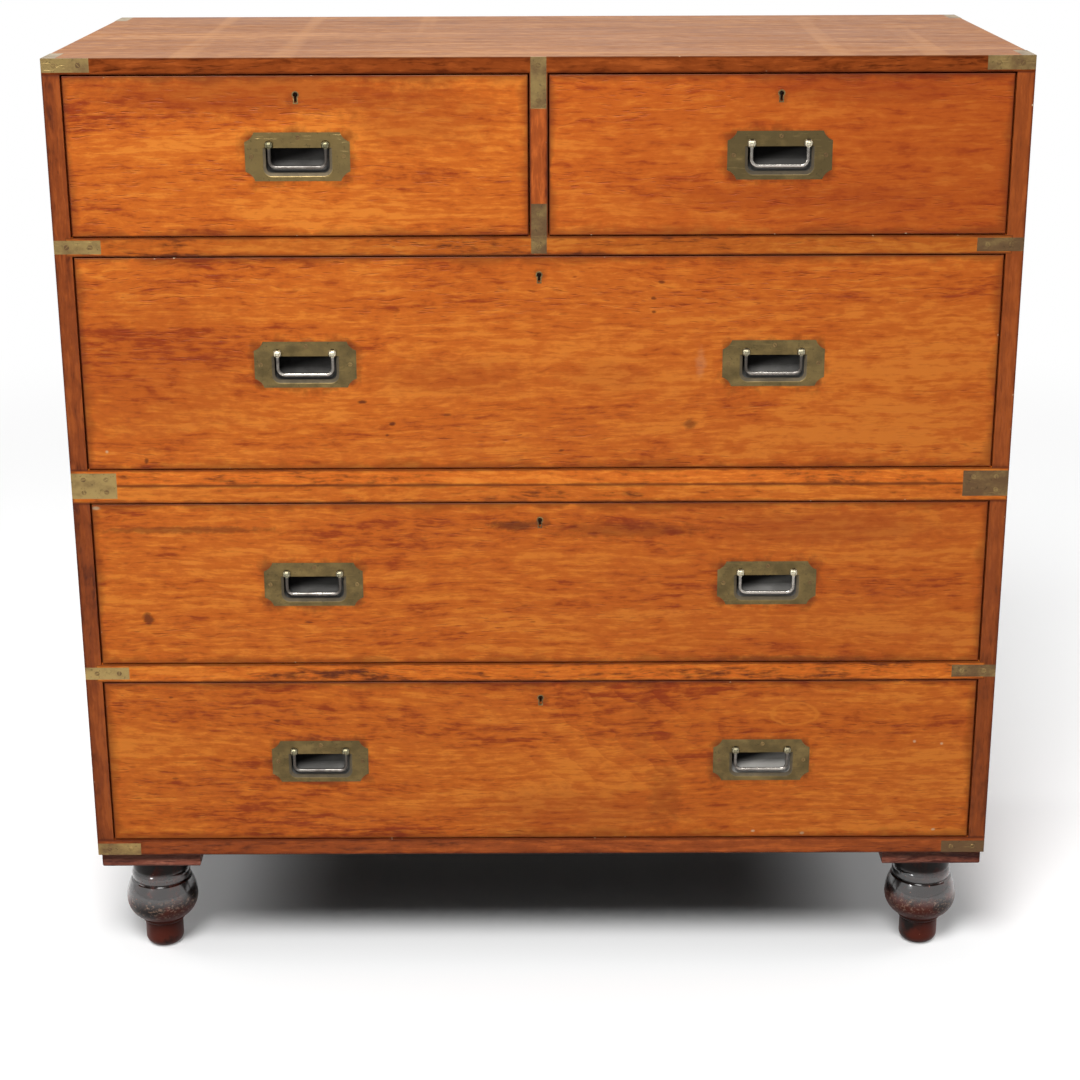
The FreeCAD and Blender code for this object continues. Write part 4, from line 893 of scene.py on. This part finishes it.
# how bright each plate is, how pale the knuckles of its left and right pulls are, how much
# painted light falls on the floors of their cups, and how clean their bails are
PLATE_BRIGHTNESS = {
    "top_left": .25, "top_right": -.3, "second": .0, "third": -.05, "bottom": -.1}
KNUCKLE_PALE = {
    "top_left": (.1, .1), "top_right": (1, 1), "second": (1, .45), "third": (.35, .9),
    "bottom": (.2, .25)}
CUP_LIGHT = {
    "top_left": (.15, .15), "top_right": (.19, .19), "second": (.14, .24),
    "third": (.2, .4), "bottom": (.33, .88)}
BAIL_CLEAN = {
    "top_left": (.0, .0), "top_right": (.6, .6), "second": (.4, .15), "third": (.05, .7),
    "bottom": (.05, .3)}


def from_left(shader, table, drawer, right):
    """A number from a table, from 0 at a drawer's left pull to 1 at its right one."""
    first, last = table[drawer]
    return shader.total(first, shader.product(right, last - first))


def knuckle_colour(shader, metal, drawer, right):
    """The knuckles' colour on a drawer's left or right pull."""
    share = from_left(shader, KNUCKLE_PALE, drawer, right)
    return shader.mix(share, metal.knuckle_olive, metal.knuckle_pale)


class CHEST_OT_pull_plates(bpy.types.Operator):
    """Finish the pull plates: olive faces, cups with painted light on their floors and
    painted shadow under the hand holes, and bright knuckles
    """
    bl_idname = "chest.pull_plates"
    bl_label = "Pull plates"

    def execute(self, context):
        metal = context.scene.chest_metal
        for index, drawer in enumerate(DRAWERS):
            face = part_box(f"{drawer}_drawer_front")[0].y
            centre = plate_centres(drawer)[0]
            material, s = new_material(f"{drawer}_pull_brass")
            place = s.object_place()
            parts = s.split(place)
            right = s.step(parts["X"], -.01, .01)
            away = s.math("SUBTRACT", s.math("ABSOLUTE", parts["X"]), abs(centre.x))
            across = s.product(away, s.math("SIGN", parts["X"]))
            up = s.math("SUBTRACT", parts["Z"], centre.z)
            shift = s.vector("ADD", place, (index * .37, 0, index * .21))
            made = old_metal(
                s, shift, metal.plate_bright, metal.plate_dull, metal.verdigris,
                PLATE_BRIGHTNESS[drawer], .45)
            lip = s.fade(parts["Y"], face, PULL_LIP)
            base = s.mix(s.product(lip, .7), made["Color"], metal.lip)
            # Painted light and shade in the cups: lit below a slanted line and in painted
            # shadow above it, more lit in some cups than in others.
            shaded = s.total(up, s.product(across, -.28))
            cup_lit_share = s.product(
                s.step(shaded, *CUP_SHADOW_EDGE), from_left(s, CUP_LIGHT, drawer, right))
            painted_cup = s.mix(cup_lit_share, metal.cup_shadow_and_bail_spots, metal.painted_cup)
            inside = s.fade(parts["Y"], face, PULL_INSIDE)
            base = s.mix(inside, base, painted_cup)
            raised = s.fade(parts["Y"], face, PULL_KNUCKLES)
            base = s.mix(raised, base, knuckle_colour(s, metal, drawer, right))
            roughness = s.total(
                made["Roughness"], s.product(lip, .4), s.product(raised, -.25))
            metallic = s.math("SUBTRACT", .85, s.product(inside, cup_lit_share, .4))
            finish_surface(s, base, roughness, made["Height"], .0002, metallic=metallic)
            dress(f"{drawer}_drawer_pull_plates", material)
        return {"FINISHED"}


class CHEST_OT_bails(bpy.types.Operator):
    """Finish the bails of the pulls and of the carrying handles"""
    bl_idname = "chest.bails"
    bl_label = "Bails"

    def execute(self, context):
        metal = context.scene.chest_metal
        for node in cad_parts:
            if not node.endswith("_bail"):
                continue
            material, s = new_material(f"{node}_metal")
            place = s.object_place()
            drawer = next((d for d in DRAWERS if node.startswith(d)), None)
            right = 1.0 if node.endswith("right_bail") else 0.0
            wear = .1
            if drawer:
                low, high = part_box(node)
                height = s.split(place)["Z"]
                grip = s.fade(height, low.z, BAIL_GRIP)
                wear = s.total(
                    from_left(s, BAIL_CLEAN, drawer, right), s.product(grip, .4), -.45)
            made = old_metal(
                s, place, metal.bail_bright, metal.bail_dull, metal.cup_shadow_and_bail_spots, wear, .3)
            base = made["Color"]
            if drawer:
                eye = s.fade(height, high.z, BAIL_EYES)
                base = s.mix(eye, base, knuckle_colour(s, metal, drawer, right))
            finish_surface(
                s, base, s.math("SUBTRACT", made["Roughness"], .12), made["Height"], .0002,
                metallic=.9)
            dress(node, material)
        return {"FINISHED"}


class CHEST_OT_locks(bpy.types.Operator):
    """Finish the lock cases, their bolts and the brass threads of the keyholes"""
    bl_idname = "chest.locks"
    bl_label = "Locks"

    def execute(self, context):
        metal = context.scene.chest_metal
        iron, s = new_material("lock_iron")
        made = old_metal(
            s, s.object_place(), metal.iron_bright, metal.iron_dull, metal.iron_dull, .1, .7)
        finish_metal(s, made)
        for drawer in DRAWERS:
            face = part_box(f"{drawer}_drawer_front")[0].y
            lock, s = new_material(f"{drawer}_lock_metal")
            place = s.object_place()
            made = old_metal(
                s, place, metal.strap_bright, metal.strap_dull, metal.verdigris, .0, .6)
            inside = s.fade(s.split(place)["Y"], face, LOCK_INSIDE)
            base = s.mix(inside, made["Color"], metal.iron_dull)
            finish_metal(s, made, base)
            dress(f"{drawer}_drawer_lock", lock)
            dress(f"{drawer}_drawer_lock_bolt", iron)
        return {"FINISHED"}


# Screws

def screw_mesh(slot_share):
    """One slotted head with a radius of 1, its face at z = 0 and its foot below."""
    bm = bmesh.new()
    bmesh.ops.create_cone(
        bm, cap_ends=True, cap_tris=False, segments=20, radius1=.98, radius2=.98, depth=.5,
        matrix=Matrix.Translation((0, 0, -.25)))
    rim = [e for e in bm.edges if all(v.co.z > -.01 for v in e.verts)]
    bmesh.ops.bevel(
        bm, geom=rim, offset=.08, offset_type="OFFSET", segments=1, profile=.5,
        affect="EDGES", material=-1, clamp_overlap=True)
    for normal, reach in (((1, 0, 0), slot_share), ((0, 1, 0), .8)):
        for side in (-1, 1):
            top = [f for f in bm.faces if f.normal.z > .9 and f.calc_center_median().z > -.01]
            edges = dict.fromkeys(e for f in top for e in f.edges)
            points = dict.fromkeys(v for f in top for v in f.verts)
            bmesh.ops.bisect_plane(
                bm, geom=[*top, *edges, *points], dist=1e-5, plane_no=normal,
                plane_co=[side * reach * part for part in normal])
            bm.normal_update()
    slot = [
        f for f in bm.faces
        if f.normal.z > .9 and abs(f.calc_center_median().x) < slot_share * .9
        and abs(f.calc_center_median().y) < .75 and f.calc_center_median().z > -.01]
    sunk = bmesh.ops.extrude_face_region(bm, geom=slot)
    moved = [part for part in sunk["geom"] if isinstance(part, bmesh.types.BMVert)]
    bmesh.ops.translate(bm, verts=moved, vec=(0, 0, -.3))
    bmesh.ops.delete(bm, geom=[f for f in slot if f.is_valid], context="FACES_ONLY")
    bmesh.ops.recalc_face_normals(bm, faces=bm.faces)
    mesh = bpy.data.meshes.new("screw_head")
    bm.to_mesh(mesh)
    bm.free()
    return mesh


def place_screws(name, body, places, head, proud, template, turn):
    """Joins one group of screws. A place is a point and the direction it faces."""
    bm = bmesh.new()
    for point, facing in places:
        bm.verts.ensure_lookup_table()
        before = len(bm.verts)
        bm.from_mesh(template)
        bm.verts.ensure_lookup_table()
        facing = Vector(facing)
        matrix = (
            Matrix.Translation(Vector(point) + facing * proud)
            @ facing.to_track_quat("Z", "Y").to_matrix().to_4x4()
            @ Matrix.Rotation(turn.uniform(0, math.pi), 4, "Z")
            @ Matrix.Diagonal((head / 2, head / 2, head / 2, 1)))
        bmesh.ops.transform(bm, matrix=matrix, verts=bm.verts[before:])
    mesh = bpy.data.meshes.new(name)
    bm.to_mesh(mesh)
    bm.free()
    mesh.materials.append(template.materials[0])
    piece = new_object(name, mesh)
    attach(piece, body)


def front_places(levels, front, side, steps):
    """Screws in the straps of the front corners, on the front and on both sides."""
    places = []
    for level in levels:
        for step in steps:
            for hand in (-1, 1):
                places.append(((hand * (side - step), front, level), (0, -1, 0)))
                places.append(((hand * side, front + step, level), (hand, 0, 0)))
    return places


def rear_places(levels, rear, side, steps):
    """Screws in the straps of the rear corners, on both sides."""
    return [
        ((hand * side, rear - step, level), (hand, 0, 0))
        for level in levels for step in steps for hand in (-1, 1)]


class CHEST_OT_screws(bpy.types.Operator):
    """Fit slotted screws in the straps, the carrying plates and the pull plates"""
    bl_idname = "chest.screws"
    bl_label = "Screws"

    def execute(self, context):
        sizes = context.scene.chest_screws
        metal = context.scene.chest_metal
        turn = random.Random(sizes.seed)
        template = screw_mesh(sizes.slot_share)
        material, s = new_material("screw_brass")
        made = old_metal(
            s, s.object_place(), metal.strap_bright, metal.strap_dull, metal.verdigris,
            -.1, .6)
        finish_metal(s, made, bump=.0001)
        template.materials.append(material)

        def fit(name, body, places, head):
            place_screws(name, body, places, head, sizes.proud, template, turn)

        low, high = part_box("lower_top_board")
        front, side = low.y, high.x
        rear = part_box("lower_sides")[1].y
        half = sizes.strap_height / 2
        steps = (sizes.first, sizes.first + sizes.pitch)
        for section in ("lower", "upper"):
            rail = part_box(f"{section}_drawer_rail")
            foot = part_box(f"{section}_bottom_board")[0].z
            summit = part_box(f"{section}_top_board")[1].z
            levels = [foot + half, summit - half]
            places = front_places(
                levels + [(rail[0].z + rail[1].z) / 2], front, side, steps)
            places += rear_places(levels, rear, side, steps)
            if section == "upper":
                strap = sizes.divider_strap
                places += [
                    ((0, front, middle + share * strap), (0, -1, 0))
                    for middle in (summit - strap / 2, rail[0].z + strap / 2)
                    for share in DIVIDER_SCREWS]
            fit(f"{section}_strap_screws", f"{section}_section", places, sizes.strap_head)
        for section in ("lower", "upper"):
            places = []
            for hand, word in ((-1, "left"), (1, "right")):
                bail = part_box(f"{section}_{word}_carrying_bail")
                y = (bail[0].y + bail[1].y) / 2
                z = bail[1].z - HANDLE_DROP
                for across, up in CARRY_SCREWS:
                    places.append(((hand * side, y + across, z + up), (hand, 0, 0)))
            fit(f"{section}_carrying_plate_screws", f"{section}_section", places,
                sizes.carry_head)
        for drawer in DRAWERS:
            places = [
                (centre + Vector((across, 0, up)), (0, -1, 0))
                for centre in plate_centres(drawer) for across, up in PULL_SCREWS]
            fit(f"{drawer}_pull_screws", f"{drawer}_drawer", places, sizes.plate_head)
        bpy.data.meshes.remove(template)
        return {"FINISHED"}


# Stage

class CHEST_OT_stage(bpy.types.Operator):
    """Lay a pale floor, light it softly and set the camera"""
    bl_idname = "chest.stage"
    bl_label = "Stage"

    def execute(self, context):
        stage = context.scene.chest_stage
        self.lay_floor(stage)
        self.set_sky(context, stage)
        for name, place, size, power in (
                ("key_light", (-.45, -2.75, 3.8), stage.key_size, stage.key),
                ("left_light", (-3.2, .2, 2.5), stage.fill_size, stage.fill),
                ("right_light", (3.2, .2, 2.5), stage.fill_size, stage.fill),
                ("rear_light", (0, 3.1, 3.6), stage.fill_size, stage.fill),
                ("glint_light", (-2, -2.6, 1.5), stage.glint_size, stage.glint)):
            light = self.add_light(name, place, size, power)
            light.visible_diffuse = name != "glint_light"
        summit = CAD_BOX[1].z
        camera = bpy.data.cameras.new("chest_camera")
        camera.lens = stage.lens
        camera.sensor_width = 36
        camera.clip_end = 100
        holder = new_object("chest_camera", camera)
        holder.matrix_world = (
            Matrix.Translation((0, -stage.distance, summit + stage.height))
            @ Matrix.Rotation(math.pi / 2 - stage.pitch, 4, "X")
            @ Matrix.Rotation(stage.roll, 4, "Z"))
        context.scene.camera = holder
        context.scene.view_settings.view_transform = "Standard"
        return {"FINISHED"}

    def lay_floor(self, stage):
        bm = bmesh.new()
        bmesh.ops.create_circle(bm, cap_ends=True, segments=96, radius=FLOOR_RADIUS)
        mesh = bpy.data.meshes.new("floor")
        bm.to_mesh(mesh)
        bm.free()
        floor = new_object("floor", mesh)
        material = bpy.data.materials.new("pale_floor")
        s = bare_shader(material)
        parts = s.split(s.object_place())
        away = s.vector("LENGTH", s.join(parts["X"], parts["Y"], 0))
        path = s.node("ShaderNodeLightPath").outputs
        # Painted light: before the chest the floor glows partly white, which lifts the front
        # edge of its shade.
        before = s.product(s.step(parts["Y"], *FLOOR_FRONT), .6)
        white_share = s.math("MAXIMUM", before, s.step(away, *FLOOR_FAR))
        share = s.product(path["Is Camera Ray"], white_share)
        shown = s.mix(path["Is Diffuse Ray"], stage.floor, stage.bounce)
        cloth = s.node("ShaderNodeBsdfDiffuse", inputs={"Color": shown})
        white = s.node("ShaderNodeEmission", inputs={"Color": (1, 1, 1), "Strength": 1})
        both = s.node("ShaderNodeMixShader", inputs={"Fac": share})
        s.feed(both.inputs[1], cloth.outputs[0])
        s.feed(both.inputs[2], white.outputs[0])
        s.node("ShaderNodeOutputMaterial", inputs={"Surface": both.outputs[0]})
        mesh.materials.append(material)

    def set_sky(self, context, stage):
        world = bpy.data.worlds.new("chest_sky")
        context.scene.world = world
        s = bare_shader(world)
        path = s.node("ShaderNodeLightPath").outputs
        seen = s.math("MAXIMUM", path["Is Camera Ray"], path["Is Glossy Ray"])
        seen = s.math("MAXIMUM", seen, path["Is Transmission Ray"])
        up = s.split(s.node("ShaderNodeTexCoord").outputs["Generated"])["Z"]
        lit = s.total(
            stage.horizon, s.product(s.step(up, .25, 1), stage.zenith - stage.horizon))
        strength = s.total(s.product(lit, s.math("SUBTRACT", 1, seen)), seen)
        sky = s.node("ShaderNodeBackground", inputs={"Color": (1, 1, 1), "Strength": strength})
        s.node("ShaderNodeOutputWorld", inputs={"Surface": sky.outputs[0]})

    def add_light(self, name, place, size, power):
        """A round soft light, aimed at the middle of the chest."""
        light = bpy.data.lights.new(name, "AREA")
        light.shape = "DISK"
        light.size = size
        light.energy = power
        holder = new_object(name, light)
        aim = LIGHTS_AIM - Vector(place)
        holder.matrix_world = (
            Matrix.Translation(place) @ aim.to_track_quat("-Z", "Y").to_matrix().to_4x4())
        return holder


OPERATORS = (
    CHEST_OT_drawer_fronts, CHEST_OT_case, CHEST_OT_plain_wood, CHEST_OT_feet,
    CHEST_OT_brass_mounts, CHEST_OT_pull_plates, CHEST_OT_bails, CHEST_OT_locks,
    CHEST_OT_screws, CHEST_OT_stage)


class CHEST_PT_panel(bpy.types.Panel):
    """Lists the chest's settings and steps"""
    bl_idname = "CHEST_PT_panel"
    bl_label = "Campaign Chest"
    bl_space_type = "VIEW_3D"
    bl_region_type = "UI"
    bl_category = "Chest"

    def draw(self, context):
        layout = self.layout
        for name in SETTINGS:
            box = layout.box()
            settings = getattr(context.scene, name)
            box.label(text=settings.bl_rna.description)
            for value in settings.__annotations__:
                box.prop(settings, value)
        for operator in OPERATORS:
            layout.operator(operator.bl_idname)


CLASSES = (*SETTINGS.values(), *OPERATORS, CHEST_PT_panel)


def register():
    for cls in CLASSES:
        bpy.utils.register_class(cls)
    for name, group in SETTINGS.items():
        setattr(bpy.types.Scene, name, PointerProperty(type=group))


def unregister():
    for name in SETTINGS:
        delattr(bpy.types.Scene, name)
    for cls in reversed(CLASSES):
        bpy.utils.unregister_class(cls)


def main():
    register()
    for make in GROUP_MAKERS:
        make()
    bpy.ops.chest.drawer_fronts()
    bpy.ops.chest.case_wood()
    bpy.ops.chest.plain_wood()
    bpy.ops.chest.feet()
    bpy.ops.chest.brass_mounts()
    bpy.ops.chest.pull_plates()
    bpy.ops.chest.bails()
    bpy.ops.chest.locks()
    bpy.ops.chest.screws()
    bpy.ops.chest.stage()


if __name__ == "__main__":
    main()
